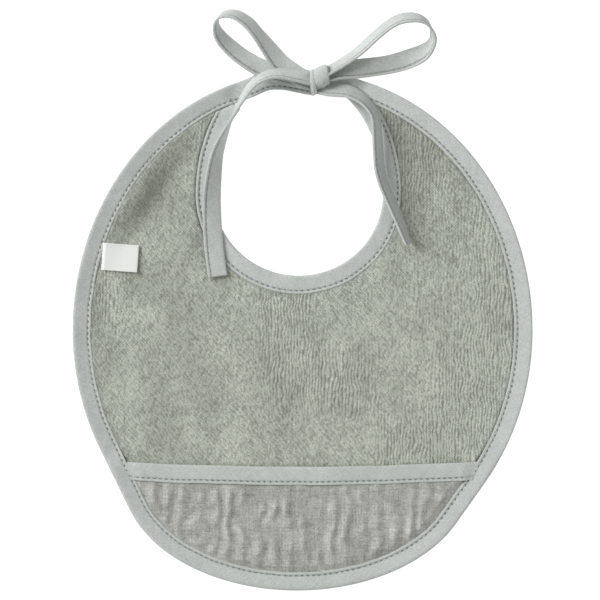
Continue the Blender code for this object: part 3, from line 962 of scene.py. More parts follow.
@dataclass
class TerryFront:
    """The looped terry front, as a field of short upright loops on a laid cloth."""

    pattern: BibPattern
    lie: ClothLie
    cell: Cell = (0.42 * MM, 0.74 * MM)
    foot: float = -0.1415
    tuck: float = 3.0 * MM
    lip_level: float = 3.35 * MM
    lip_lap: float = 0.5 * MM
    lip_pile: float = 0.3
    # Painted shade beside the tape's lip and in the gaps between loops.
    lip_shade: float = 0.74
    lip_shade_reach: float = 2.4 * MM
    gap_shade: float = 0.30
    ramp: float = 1.5 * MM
    back_level: float = 0.5 * MM
    rib_pitch: float = 1.75 * MM
    rib_wave: Layers = ((1.2 * MM, (0.0065, 0.0090), 22), (0.5 * MM, (0.0021, 0.0028), 23))
    slant: float = 0.70
    slant_middle: float = 0.45
    slant_slope: float = 5.0
    slant_patches: Layers = ((0.8, (0.032, 0.040), 24),)
    loop_height: float = 0.46 * MM
    crest: float = 0.88
    gap_depth: float = 0.74
    slanted_gap_loss: float = 0.26
    breaks: Layers = ((1.0, (0.0010, 0.0014), 25), (0.28, (0.0030, 0.0042), 26))
    break_depth: float = 0.34
    slanted_break_gain: float = 0.04
    map_edge: float = 0.01
    map_top: float = 0.70
    map_back: float = 0.4
    map_back_start: float = 0.71

    def loops(self, points: np.ndarray) -> np.ndarray:
        """Return how far the pile stands up at each point, from 0 to 1.

        The loops stand in wavy rows, upright on the right and slanted on the left.

        Args:
            points: Places on the cloth.

        Returns:
            The pile's share of its full height.
        """
        x, y = points.T
        wave = layered_noise(points, self.rib_wave)
        slanted = ease(self.slant_middle - self.slant_slope * x + layered_noise(points, self.slant_patches))
        rows = [x * math.cos(turn) + y * math.sin(turn) + wave for turn in (0.0, self.slant)]
        upright_gaps, slanted_gaps = (
            (0.5 - 0.5 * np.cos(2 * math.pi * row / self.rib_pitch)) ** 2 for row in rows
        )
        gaps = upright_gaps + (slanted_gaps - upright_gaps) * slanted
        pile = self.crest - (self.gap_depth - self.slanted_gap_loss * slanted) * gaps
        depth = self.break_depth + self.slanted_break_gain * slanted
        return np.clip(pile + depth * layered_noise(points, self.breaks), 0.0, 1.0)

    def build(self, rim_gauge: EdgeGauge, neck_gauge: EdgeGauge) -> Piece:
        """Return the terry as one body: loops above, a flat back below.

        Args:
            rim_gauge: Gauge of the outer edge.
            neck_gauge: Gauge of the neck edge.

        Returns:
            The dressed piece.
        """
        pattern = self.pattern
        xs = np.arange(-pattern.body_half_width, pattern.body_half_width, self.cell[0])
        ys = np.arange(self.foot, pattern.body_rise, self.cell[1])
        grid = np.stack(np.meshgrid(xs, ys, indexing="ij"), axis=-1)
        flat = grid.reshape(-1, 2)
        depth = np.minimum(rim_gauge.depth(flat), neck_gauge.depth(flat))
        offset = flat - pattern.neck_centre
        upward = np.abs(np.arctan2(offset[:, 0], offset[:, 1]))
        beyond = upward < math.pi / 2 - pattern.strap_turn(pattern.strap_end_width)
        kept = ((depth > self.tuck) & ~beyond).reshape(grid.shape[:2])

        pile = self.loops(flat)
        free = ease((depth - pattern.leaf + self.lip_lap) / self.ramp)
        top = self.lip_level + (pattern.front_high - self.loop_height - self.lip_level) * free
        top = top + free * self.lie.height(flat)
        top = top + pile * self.loop_height * (self.lip_pile + (1.0 - self.lip_pile) * free)
        # Painted shade: darker in the gaps between loops and beside the tape's lip, times the lie's painted
        # shade, light and tone.
        from_lip = ease((depth - pattern.leaf) / self.lip_shade_reach)
        shade = (self.gap_shade + (1.0 - self.gap_shade) * pile) * self.lie.painted_shade_and_tone(flat)
        shade = shade * (self.lip_shade + (1.0 - self.lip_shade) * from_lip)
        return self.enclose(grid, kept, top.reshape(kept.shape), shade)

    def enclose(self, grid: np.ndarray, kept: np.ndarray, top: np.ndarray, shade: np.ndarray) -> Piece:
        """Return the body between the looped top and the flat back.

        Args:
            grid: The grid's points in the plane.
            kept: Which grid points lie on the cloth.
            top: The top's height at each grid point.
            shade: The painted shade and tone of the pile at each grid point.

        Returns:
            The dressed piece.
        """
        cells = kept[:-1, :-1] & kept[1:, :-1] & kept[1:, 1:] & kept[:-1, 1:]
        index = np.arange(kept.size).reshape(kept.shape)
        quads = np.stack([index[:-1, :-1], index[1:, :-1], index[1:, 1:], index[:-1, 1:]], axis=-1)[cells]
        used, inverse = np.unique(quads, return_inverse=True)
        quads = inverse.reshape(-1, 4)
        points = np.column_stack([grid.reshape(-1, 2), top.ravel()])[used]
        edges = np.concatenate([np.column_stack([quads[:, i], quads[:, (i + 1) % 4]]) for i in range(4)])
        directed = set(map(tuple, edges.tolist()))
        border = {a: b for a, b in directed if (b, a) not in directed}
        loop = [min(border)]
        while border[loop[-1]] != loop[0]:
            loop.append(border[loop[-1]])
        under = points[loop].copy()
        under[:, 2] = self.pattern.front_low + self.back_level
        count = len(points)
        faces = quads.tolist()
        for number, corner in enumerate(loop):
            following = (number + 1) % len(loop)
            faces.append([loop[following], corner, count + number, count + following])
        faces.append([count + number for number in range(len(loop))][::-1])
        piece = link_mesh("terry_front", np.vstack([points, under]), faces, closed=False)
        # The pile attribute holds the painted shade that the terry's finish reads.
        write_shade(piece, "pile", np.concatenate([shade[used], np.ones(len(loop))]))
        self.map_flat(piece, len(quads))
        return dress(piece, TERRY, "front_panel")

    def map_flat(self, piece: Piece, top_faces: int) -> None:
        """Give the terry a flat texture map, with its looped top and its back side by side.

        Args:
            piece: The terry, with its top's faces first.
            top_faces: Number of the top's faces.
        """
        places = vertex_places(piece)
        low, high = places.min(axis=0)[:2], places.max(axis=0)[:2]
        corners = MAP_SHARE * (places[corner_owners(piece)][:, :2] - low) / (high - low) + self.map_edge
        corners[:, 0] *= self.map_top
        back = slice(4 * top_faces, None)
        corners[back] = corners[back] * self.map_back + np.array([self.map_back_start, 0.0])
        piece.data.uv_layers.new(name=BAKE_MAP).uv.foreach_set("vector", corners.astype(np.float32).ravel())


@dataclass
class Crinkle:
    """The crinkle of double gauze: short upright puckers, and faint tucks across them."""

    pitch: float = 8.2 * MM
    drift: Layers = ((2.6 * MM, (0.0150, 0.0090), 0), (0.9 * MM, (0.0055, 0.0060), 1))
    crease: float = 1.45 * MM
    swell: Layers = ((0.95, (0.0080, 0.0066), 2),)
    swell_middle: float = 0.50
    swell_range: tuple[float, float] = (0.05, 1.3)
    tucks: Layers = ((0.46 * MM, (0.0090, 0.0034), 3), (0.16 * MM, (0.0017, 0.0026), 4))
    shade_low: float = 0.74
    shade_rise: float = 0.34

    def height(self, points: np.ndarray, seed: int) -> np.ndarray:
        """Find the crinkle's height.

        Args:
            points: Places on the cloth.
            seed: Seed of the puckers.

        Returns:
            The height at each place, from about 0 to 1 mm.
        """
        pucker = np.cos(2 * math.pi * (points[:, 0] + layered_noise(points, self.drift, seed)) / self.pitch)
        swell = np.clip(self.swell_middle + layered_noise(points, self.swell, seed), *self.swell_range)
        return self.crease * swell * (0.5 + 0.5 * pucker) + layered_noise(points, self.tucks, seed)

    def shade(self, height: np.ndarray) -> np.ndarray:
        """Return how open each point is to the light, from 0 to 1."""
        share = (height - height.min()) / np.ptp(height)
        return np.clip(self.shade_low + self.shade_rise * share, 0.0, 1.0)


@dataclass
class GauzeBack:
    """The crinkled gauze lining behind the terry."""

    pattern: BibPattern
    crinkle: Crinkle
    cell: float = 1.5 * MM
    rows: int = 90
    thickness: float = 0.45 * MM
    inset: float = 1.3 * MM
    lap: float = 1.5 * MM
    ramp: float = 4.0 * MM
    seam_level: float = 0.95 * MM
    floor_gap: float = 0.02 * MM
    crinkle_share: float = 0.22
    under_shade: float = 1.6
    seed: int = 71

    def build(self) -> Piece:
        """Make the lining, from the neck edge to the rim.

        Returns:
            The dressed piece.
        """
        pattern = self.pattern
        rim = pattern.strap_to_strap(pattern.rim(), pattern.strap_end_width, self.cell)
        turn = np.arctan2(rim[:, 1] - pattern.neck_centre[1], rim[:, 0] - pattern.neck_centre[0])
        start = pattern.neck_points(turn)
        away = (start - pattern.neck_centre) / pattern.neck_halves(turn) ** 2
        away /= np.linalg.norm(away, axis=1)[:, None]
        near, far = start + away * self.inset, rim + left_normals(rim) * self.inset
        shares = np.linspace(0.0, 1.0, self.rows)
        across = near[:, None] + (far - near)[:, None] * shares[None, :, None]
        reach = np.linalg.norm(far - near, axis=1)[:, None] * np.minimum(shares, 1.0 - shares)[None]
        free = ease((reach - pattern.leaf + self.lap) / self.ramp)
        rise = self.crinkle.height(across.reshape(-1, 2), self.seed).reshape(free.shape)
        lining = self.floor_gap + self.crinkle_share * (rise - rise.min())
        under = self.seam_level * (1.0 - free) + free * lining
        piece = skin("gauze_back", two_faced(across, under, under + self.thickness))
        # Painted shade in the crinkle's hollows, stored as the pile attribute, and its reverse on the
        # underside.
        shade = self.crinkle.shade(rise)
        shades = np.concatenate([self.under_shade - shade, shade[:, ::-1]], axis=1)
        write_shade(piece, "pile", shades.clip(0.0, 1.0))
        return dress(piece, GAUZE, "back_panel")


# Bias tape

LIP_ROWS = slice(4, 7)
GROOVE_ROW = 8
CROWN_ROWS = slice(9, 18)
UNDER_GROOVE_ROW = 26


@dataclass
class FoldedTape:
    """Bias tape folded over an edge, with a stitched lip on both faces.

    The section is listed from the upper lip round the fold to the lower lip and back inside. Each of its
    points lies at a distance from the lip (negative) or from the fold (positive), in millimetres.
    """

    low: float = 0.0
    leaf_low: float = 3.40 * MM
    crown: float = 5.0 * MM
    pucker: float = 0.22 * MM
    slanted_pucker: float = 0.55
    slanted_cell: Cell = (4.2 * MM, 6.5 * MM)
    coarse_pucker: float = 0.6
    coarse_cell: Cell = (11.0 * MM, 9.0 * MM)
    wander: float = 0.14 * MM
    wander_cell: Cell = (9.0 * MM, 1.0)
    lip_beat: float = 0.05 * MM
    groove_beat: float = -0.07 * MM
    # Painted shade at the needle holes.
    hole_shade: float = 0.30
    hole_below: float = 0.9
    lower_leaf: float = 0.6 * MM
    pressed_above: float = 0.5
    pressed_below: float = 0.9
    pressed_between: float = 0.015
    stitch_inset: float = 1.9 * MM
    stitch_rise: float = 0.26 * MM
    under_stitch_drop: float = 0.02 * MM
    under_stitch_dip: float = -0.12 * MM
    step: float = 0.75 * MM
    map_length: float = 0.030
    groove: tuple[np.ndarray, np.ndarray] | None = None

    def profile(self) -> np.ndarray:
        """Give the section.

        Returns:
            Its points as (distance, height, share of lift, openness), the openness a painted shade that is
            low in the lips' grooves and inside the fold.
        """
        leaf, crown, low = self.leaf_low / MM, self.crown / MM, self.low / MM
        middle = (low + crown) / 2
        face = leaf + 0.68
        upper_lip = [
            (-2.6, leaf + 0.02, 1.0, 0.6), (-0.5, leaf + 0.00, 1.0, 0.5), (-0.06, leaf + 0.12, 1.0, 0.75),
            (-0.001, leaf + 0.34, 1.0, 1.0), (-0.14, leaf + 0.58, 1.0, 1.0), (-0.55, leaf + 0.72, 1.0, 1.0),
            (-1.10, leaf + 0.70, 1.0, 1.0), (-1.55, leaf + 0.52, 1.0, 0.88), (-1.9, leaf + 0.34, 1.0, 0.78),
            (-2.2, leaf + 0.46, 1.0, 0.88), (-2.6, leaf + 0.60, 1.0, 1.0), (-3.4, face, 1.0, 1.0),
        ]
        fold = [
            (5.2, face + 0.28 * (crown - face), 1.0, 1.0), (3.4, face + 0.62 * (crown - face), 1.0, 1.0),
            (2.1, face + 0.88 * (crown - face), 0.9, 1.0), (1.2, crown, 0.75, 1.0),
            (0.6, crown - 0.12, 0.5, 1.0), (0.24, crown - 0.42, 0.3, 1.0),
            (0.05, middle + 0.42 * (crown - middle), 0.1, 1.0), (0.0, middle, 0.0, 1.0),
            (0.05, middle - 0.42 * (crown - middle), 0.0, 1.0), (0.3, low + 0.36, 0.0, 1.0),
            (0.9, low + 0.10, 0.0, 1.0), (2.0, low + 0.01, 0.0, 1.0), (5.0, low, 0.0, 1.0),
        ]
        lower_lip = [
            (-2.5, low, 0.0, 0.95), (-1.9, low + 0.26, 0.0, 0.6), (-1.3, low + 0.01, 0.0, 1.0),
            (-0.4, low + 0.03, 0.0, 1.0), (-0.001, low + 0.28, 0.0, 1.0), (-0.4, low + 0.56, 0.0, 0.6),
            (-2.6, low + 0.58, 0.0, 0.5),
        ]
        inside = [
            (1.6, low + 0.62, 0.0, 0.5), (0.85, low + 1.0, 0.0, 0.5), (0.75, middle, 0.3, 0.5),
            (0.85, leaf - 0.45, 0.7, 0.5), (1.6, leaf, 1.0, 0.5),
        ]
        return np.array([*upper_lip, *fold, *lower_lip, *inside])

    def build(
        self,
        name: str,
        edge: np.ndarray,
        inward: np.ndarray,
        seed: int,
        widths: np.ndarray | float,
        seat: np.ndarray | float,
        lift: np.ndarray | float = 0.0,
        close: np.ndarray | float = 0.0,
    ) -> Piece:
        """Return the tape along an edge.

        Args:
            name: Name of the piece.
            edge: The fold's line in the plane, at even steps.
            inward: Directions from the fold to the lip.
            seed: Seed of the puckers.
            widths: Width of the upper leaf at each station.
            seat: Height at which the pressed leaves meet at each station.
            lift: How far the upper leaf is raised at each station by what it covers.
            close: How far the two leaves are pressed together at each station, from 0 to 1.

        Returns:
            The tape, not dressed yet.
        """
        widths, seat, lift, close = (
            np.broadcast_to(value, len(edge))[:, None] for value in (widths, seat, lift, close)
        )
        rows = self.profile()
        along = run_lengths(edge)
        distance = rows[:, 0] * MM
        depth = np.minimum(np.where(distance < 0, widths + distance, distance), widths)
        wander = self.wander * lattice_noise(along, 0.0, self.wander_cell, seed)
        depth = depth + wander[:, None] * (distance < 0)
        height = rows[:, 1] * MM + lift * rows[:, 2]
        slanted = lattice_noise(along[:, None] + depth, depth * 0.6, self.slanted_cell, seed + 1)
        coarse = lattice_noise(along[:, None] - 0.4 * depth, depth * 0.3, self.coarse_cell, seed + 2)
        puckers = self.pucker * (self.slanted_pucker * slanted + self.coarse_pucker * coarse)
        height[:, CROWN_ROWS] += puckers[:, CROWN_ROWS]
        beat = np.cos(2 * math.pi * along / Seam.pitch)[:, None]
        height[:, LIP_ROWS] += beat * self.lip_beat
        height[:, [GROOVE_ROW]] += beat * self.groove_beat
        height = height + (self.pressed(height) + seat - height) * close
        place = edge[:, None] + inward[:, None] * depth[..., None]
        sections = np.concatenate([place, height[..., None]], axis=-1)
        piece = skin(name, sections, folds=max(1, round(math.sqrt(along[-1] / self.map_length))))
        # Painted shade: darker in the grooves, inside the fold and at the needle holes, stored as the open
        # attribute.
        holes = np.clip(-beat, 0.0, 1.0) ** 3
        openness = rows[:, 3] - self.hole_shade * holes * (rows[:, 3] < self.hole_below)
        write_shade(piece, "open", openness.clip(0.0, 1.0))
        write_bias_lay(piece, along[:, None], run_lengths(sections[len(edge) // 2]))
        self.groove = sections[:, GROOVE_ROW], sections[:, UNDER_GROOVE_ROW]
        return piece

    def pressed(self, height: np.ndarray) -> np.ndarray:
        """Press the section's leaves together.

        Args:
            height: The section's heights at each station.

        Returns:
            Its heights from where the pressed leaves meet.
        """
        lower = self.low + self.lower_leaf
        above = np.clip(height - self.leaf_low, 0.0, None)
        below = np.clip(lower - height, 0.0, None)
        between = height - (self.leaf_low + lower) / 2
        return self.pressed_above * above - self.pressed_below * below + self.pressed_between * between

    def seams(self, inward: np.ndarray, span: slice, seed: int) -> list[Seam]:
        """Give the rows of stitches in the grooves of both faces.

        Args:
            inward: Directions from the fold to the lip.
            span: Stations that are sewn.
            seed: Seed of the stitches.

        Returns:
            The upper and the lower seam.
        """
        side = np.column_stack([inward, np.zeros(len(inward))])[span]
        up = np.tile([0.0, 0.0, 1.0], (len(side), 1))
        upper, lower = (groove[span] for groove in self.groove)
        return [
            Seam(upper + up * self.stitch_rise, side, up, seed=seed),
            Seam(lower - up * self.under_stitch_drop, side, -up, dip=self.under_stitch_dip, seed=seed + 1),
        ]


@dataclass
class EdgeBindings:
    """The tapes on the rim and round the neck."""

    pattern: BibPattern
    tape: FoldedTape = field(default_factory=FoldedTape)
    neck_crown: float = 4.45 * MM
    neck_end_width: float = 0.0097
    neck_left_room: float = 0.0142
    neck_sink: float = 0.54
    neck_seam_room: float = 0.3 * MM
    pocket_lift: float = 0.85 * MM
    pocket_lift_from: float = 0.004
    pocket_lift_run: float = 0.008
    hem_lift: float = 0.60 * MM
    hem_half: float = 6.0 * MM
    hem_below: float = 0.0045
    label_lift: float = 0.45 * MM
    label_middle: float = 0.0398
    label_half: float = 9.0 * MM
    tie_half: float = 5.25 * MM
    tip_run: float = 0.013
    smoothing: int = 6
    seat: float = 2.0 * MM
    tuck_under: float = 1.0 * MM

    def lifts(self, edge: np.ndarray) -> np.ndarray:
        """Find how far the rim's upper leaf is raised by the pocket, its hem and the label.

        Args:
            edge: The rim's points.

        Returns:
            The lift at each point.
        """
        x, y = edge.T
        below = self.pattern.pocket_top - y
        pocket = self.pocket_lift * ease((below + self.pocket_lift_from) / self.pocket_lift_run)
        hem = self.hem_lift * np.exp(-(((below - self.hem_below) / self.hem_half) ** 2))
        label = self.label_lift * np.exp(-(((y - self.label_middle) / self.label_half) ** 4)) * (x < 0)
        return pocket + hem + label

    def build_rim(self, leads: list[np.ndarray]) -> list[Piece]:
        """Return the tape that runs from the knot round the rim and back to the knot, and its stitches.

        Args:
            leads: Stations of the left and the right lead's middle, from the strap's tip to the knot.

        Returns:
            The dressed pieces.
        """
        pattern = self.pattern
        rim = pattern.strap_to_strap(pattern.rim(), pattern.strap_tip_width, self.tape.step)
        before, after = (
            np.column_stack([line[:, :2] - left_normals(line) * self.tie_half, line[:, 2]])
            for line in (leads[0][::-1], leads[1])
        )
        path = np.vstack([before, np.column_stack([rim, np.full(len(rim), self.seat)])[1:-1], after])
        along = run_lengths(path[:, :2])
        wanted = np.linspace(0.0, along[-1], round(along[-1] / self.tape.step))
        stations = read_rows(wanted, along, path)
        edge, seat = stations[:, :2], stations[:, 2]
        for _ in range(self.smoothing):
            edge[1:-1] = (edge[:-2] + 2 * edge[1:-1] + edge[2:]) / 4
        from_tip = np.minimum(wanted - along[len(before) - 1], along[-len(after)] - wanted)
        close = 1.0 - ease(from_tip / self.tip_run)
        inward = left_normals(edge)
        widths = pattern.leaf + close * (2 * self.tie_half - pattern.leaf)
        tape = self.tape.build("rim_tape", edge, inward, 31, widths, seat, self.lifts(edge), close)
        stitches = stitch_rows("rim_stitches", self.tape.seams(inward, slice(2, -2), 33))
        return [
            dress(tape, TAPE, "outer_binding", "left_tie_lead", "right_tie_lead"),
            dress(stitches, THREAD, "outer_seam_thread", "left_lead_thread", "right_lead_thread"),
        ]

    def build_neck(self, rim_gauge: EdgeGauge) -> list[Piece]:
        """Return the neck's tape, whose ends pass under the rim's tape, and its stitches.

        Args:
            rim_gauge: Gauge of the outer edge.

        Returns:
            The dressed pieces.
        """
        pattern = self.pattern
        folded = FoldedTape(crown=self.neck_crown)
        edge = pattern.strap_to_strap(pattern.neck(), self.neck_end_width, folded.step)
        edge = edge[np.argmax(rim_gauge.depth(edge) > self.neck_left_room):]
        outward = -left_normals(edge)
        tape = folded.build("neck_tape", edge, outward, 41, pattern.leaf, self.seat)
        places = vertex_places(tape)
        covered = ease((pattern.leaf + self.tuck_under - rim_gauge.depth(places[:, :2])) / self.tuck_under)
        places[:, 2] -= self.neck_sink * covered * np.clip(places[:, 2] - self.seat, 0.0, None)
        tape.data.vertices.foreach_set("co", places.ravel())
        room = 2 * pattern.leaf - folded.stitch_inset + self.neck_seam_room
        free = np.flatnonzero(rim_gauge.depth(edge) > room)
        stitches = stitch_rows("neck_stitches", folded.seams(outward, slice(free[0], free[-1]), 43))
        return [dress(tape, TAPE, "neck_binding"), dress(stitches, THREAD, "neck_seam_thread")]


def pocket_tape() -> FoldedTape:
    """Return the tape over the pocket's mouth."""
    return FoldedTape(low=4.65 * MM, leaf_low=6.10 * MM, crown=7.00 * MM, pucker=0.16 * MM)


@dataclass
class CrumbPocket:
    """The gauze pocket along the foot, with tape over its mouth."""

    pattern: BibPattern
    crinkle: Crinkle
    tape: FoldedTape = field(default_factory=pocket_tape)
    cell: float = 0.9 * MM
    rows: int = 74
    cloth: float = 0.55 * MM
    panel_low: float = 4.75 * MM
    mouth_low: float = 5.35 * MM
    seam_low: float = 3.55 * MM
    seam_ramp: float = 5.5 * MM
    lip_step: float = 0.5 * MM
    tuck: float = 1.4 * MM
    hem_reach: float = 0.8 * MM
    hem_wander: float = 0.18 * MM
    hem_wander_cell: Cell = (0.016, 1.0)
    hem_lean: float = 0.52
    hem_lean_run: float = 0.012
    hem_close: float = 0.85
    hem_seat: float = 4.55 * MM
    hem_unsewn: float = 3.2 * MM
    hem_ramp: float = 5.0 * MM
    hem_hold: float = 0.7
    head_inset: float = 1.2 * MM
    foot_below: float = 2.0 * MM
    side_inset: float = 0.3 * MM
    least_drop: float = 0.2 * MM
    flank_run: float = 0.03
    flank_top: float = 0.05
    flank_steps: int = 200
    least_loose: float = 0.12
    joint_height: float = 0.0046
    sewn_run: float = 0.045

    def lip_line(self) -> np.ndarray:
        """Return the rim tape's lip from strap to strap."""
        edge = self.pattern.strap_to_strap(self.pattern.rim(), self.pattern.strap_end_width, self.lip_step)
        return edge + left_normals(edge) * (self.pattern.leaf - self.tuck)

    def side(self, lip: np.ndarray, sign: int, y: np.ndarray | float) -> np.ndarray:
        """Find where the lip passes heights on one side.

        Args:
            lip: The rim tape's lip.
            sign: Side of the pocket: -1 for the left, 1 for the right.
            y: The heights.

        Returns:
            The x at each height.
        """
        flank = lip[((lip[:, 0] - self.pattern.foot_centre[0]) * sign > 0) & (lip[:, 1] < self.flank_top)]
        order = np.argsort(flank[:, 1])
        return np.interp(y, flank[order, 1], flank[order, 0])

    def build(self, rim_gauge: EdgeGauge) -> list[Piece]:
        """Return the pocket's tape, its stitches and its gauze.

        Args:
            rim_gauge: Gauge of the outer edge.

        Returns:
            The dressed pieces.
        """
        lip = self.lip_line()
        ends = [float(self.side(lip, sign, self.pattern.pocket_top)) for sign in (-1, 1)]
        half_span = (ends[1] - ends[0]) / 2
        return [*self.build_hem(ends, half_span), self.build_panel(lip, half_span, rim_gauge)]

    def build_hem(self, ends: list[float], half_span: float) -> list[Piece]:
        """Make the tape over the pocket's mouth, and its stitches.

        Args:
            ends: The x at which the mouth meets the rim's lip, on the left and on the right.
            half_span: Half of the distance between them.

        Returns:
            The dressed pieces.
        """
        left, right = ends
        count = round((right - left) / self.tape.step)
        x = np.linspace(left - self.hem_reach, right + self.hem_reach, count)
        edge = resample(np.column_stack([x, self.pattern.mouth(x, half_span)]), self.tape.step)
        edge[:, 1] += self.hem_wander * lattice_noise(edge[:, 0], 0.0, self.hem_wander_cell, 57)
        lean = ease(1.0 - np.minimum(edge[:, 0] - x[0], x[-1] - edge[:, 0]) / self.hem_lean_run)
        inward = -left_normals(edge)
        inward[:, 0] -= self.hem_lean * lean * np.sign(edge[:, 0])
        leaf, close = self.pattern.leaf, self.hem_close * lean
        tape = self.tape.build("pocket_tape", edge, inward, 51, leaf, self.hem_seat, close=close)
        unsewn = round(self.hem_unsewn / self.tape.step)
        stitches = stitch_rows("pocket_stitches", self.tape.seams(inward, slice(unsewn, -unsewn), 53))
        return [dress(tape, TAPE, "pocket_binding"), dress(stitches, THREAD, "pocket_hem_thread")]

    def outline(self, lip: np.ndarray, half_span: float) -> tuple[np.ndarray, np.ndarray, np.ndarray]:
        """Give the gauze's cut.

        Args:
            lip: The rim tape's lip.
            half_span: Half of the mouth's width.

        Returns:
            Even stations x from left to right, and the y of the gauze's head and foot at each.
        """
        pattern = self.pattern
        below = lip[lip[:, 1] < pattern.pocket_top - self.foot_below]
        foot_x = resample(below, self.cell)[:, 0]
        left, right = foot_x.min() + self.side_inset, foot_x.max() - self.side_inset
        x = np.linspace(left, right, round((right - left) / self.cell))
        order = np.argsort(below[:, 0])
        foot = np.interp(x, below[order, 0], below[order, 1])
        head = np.minimum(pattern.mouth(x, half_span), pattern.pocket_top) - self.head_inset
        flank_y = np.linspace(pattern.pocket_top - self.flank_run, pattern.pocket_top, self.flank_steps)
        for sign in (-1, 1):
            edge_x = self.side(lip, sign, flank_y)
            outside = (x - edge_x[-1]) * sign > 0
            head[outside] = np.interp(sign * x[outside], sign * edge_x, flank_y)
        return x, head, np.minimum(foot, head - self.least_drop)

    def build_panel(self, lip: np.ndarray, half_span: float, rim_gauge: EdgeGauge) -> Piece:
        """Make the pocket's gauze, sewn in at its sides and foot.

        Args:
            lip: The rim tape's lip.
            half_span: Half of the mouth's width.
            rim_gauge: Gauge of the outer edge.

        Returns:
            The dressed piece.
        """
        pattern = self.pattern
        x, head, foot = self.outline(lip, half_span)
        y = head[:, None] + (foot - head)[:, None] * np.linspace(0.0, 1.0, self.rows)
        flat = np.stack([np.broadcast_to(x[:, None], y.shape), y], axis=-1)
        points = flat.reshape(-1, 2)
        depth = rim_gauge.depth(points).reshape(y.shape)
        down = pattern.mouth(x, half_span)[:, None] - y
        rise = self.crinkle.height(points, 61).reshape(y.shape)
        sewn = ease((depth - pattern.leaf + self.tuck) / self.seam_ramp)
        hemmed = ease(1.0 - (down - pattern.leaf) / self.hem_ramp)
        loose = np.clip(sewn * (1.0 - self.hem_hold * hemmed), self.least_loose, 1.0)
        base = self.seam_low + (self.panel_low - self.seam_low) * sewn
        under = base + (self.mouth_low - self.panel_low) * hemmed * sewn + rise * loose
        piece = skin("pocket_gauze", two_faced(flat, under + self.cloth, under))
        # Painted shade in the crinkle's hollows, stored as the pile attribute.
        shade = self.crinkle.shade(rise)
        write_shade(piece, "pile", np.concatenate([shade, shade[:, ::-1]], axis=1))
        return dress(piece, GAUZE, "pocket_panel")

    def sew(self, pieces: list[Piece], rim_gauge: EdgeGauge) -> None:
        """Bake the transforms of the pocket's pieces into their meshes.

        Args:
            pieces: The pocket's tape, stitches and gauze.
            rim_gauge: Gauge of the outer edge.
        """
        pattern = self.pattern
        for piece in pieces:
            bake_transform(piece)
            places = np.array([vertex.co[:2] for vertex in piece.data.vertices])
            free = ease((rim_gauge.depth(places) - pattern.leaf) / self.sewn_run)


@dataclass
class SideLabel:
    """The bare woven label, caught in the left seam."""

    seam: tuple[float, float] = (-0.108536, 0.039954)
    joint_height: float = 0.00485
    joint_before: float = 1.2 * MM
    joint_after: float = 2.0 * MM
    tilt: float = math.radians(-4.0)
    length: float = 0.0195
    width: float = 0.0148
    cloth: float = 0.50 * MM
    middle: float = 5.0 * MM
    root: float = 3.42 * MM
    tuck: float = 2.2 * MM
    steps: int = 44
    end_round: float = 0.6 * MM
    end_least: float = 0.12
    last_step: float = 0.2 * MM
    width_power: float = 0.55
    cloth_power: float = 0.25
    selvedge: float = 0.10 * MM
    selvedge_width: float = 1.5 * MM
    selvedge_ramp: float = 1.2 * MM
    free_before: float = 1.0 * MM
    free_run: float = 2.6 * MM
    bow: float = 0.35 * MM
    sag: float = 0.22 * MM
    sag_cell: Cell = (0.009, 0.008)
    seed: int = 81

    def build(self, lie: ClothLie) -> Piece:
        """Make the label: flat on the laid cloth, with a soft bow and turned selvedges.

        Args:
            lie: The lie of the cloth under it.

        Returns:
            The dressed piece.
        """
        ahead = np.array([math.cos(self.tilt), math.sin(self.tilt)])
        aside = np.array([-ahead[1], ahead[0]])
        flat_run = np.linspace(-self.tuck, self.length - self.end_round, self.steps)
        reach = np.concatenate([flat_run, [self.length - self.last_step, self.length]])
        half = self.width / 2
        turn = np.linspace(0.0, 2 * math.pi, self.steps, endpoint=False)
        across = half * np.sign(np.cos(turn)) * np.abs(np.cos(turn)) ** self.width_power
        thick = self.cloth / 2 * np.sign(np.sin(turn)) * np.abs(np.sin(turn)) ** self.cloth_power
        turned = ease((np.abs(across) - half + self.selvedge_width) / self.selvedge_ramp)
        thick = thick + np.sign(thick) * turned * self.selvedge
        free = ease((reach + self.free_before) / self.free_run)
        bow = self.bow * (reach / self.length).clip(0, 1) ** 2
        rise = self.root + (self.middle - self.root) * free + bow
        end = np.sqrt(np.clip((self.length - reach) / self.end_round, self.end_least, 1.0))
        x, y = (self.seam[i] + reach[:, None] * ahead[i] + across[None] * aside[i] for i in (0, 1))
        sag = self.sag * lattice_noise(reach[:, None], across, self.sag_cell, self.seed)
        sag = sag + lie.height(np.stack([x, y], axis=-1).reshape(-1, 2)).reshape(x.shape)
        z = rise[:, None] + thick[None] * end[:, None] + sag * free[:, None]
        piece = skin("woven_label", np.stack([x, y, z], axis=-1))
        write_lay(piece, reach[:, None], across)
        return dress(piece, LABEL, "side_label")

    def hang(self, piece: Piece) -> None:
        """Bake the label's transform into its mesh.

        Args:
            piece: The label.
        """
        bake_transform(piece)


# The tied bow: each route's points are x, y from the top of the round body, z, and the tape's roll in degrees

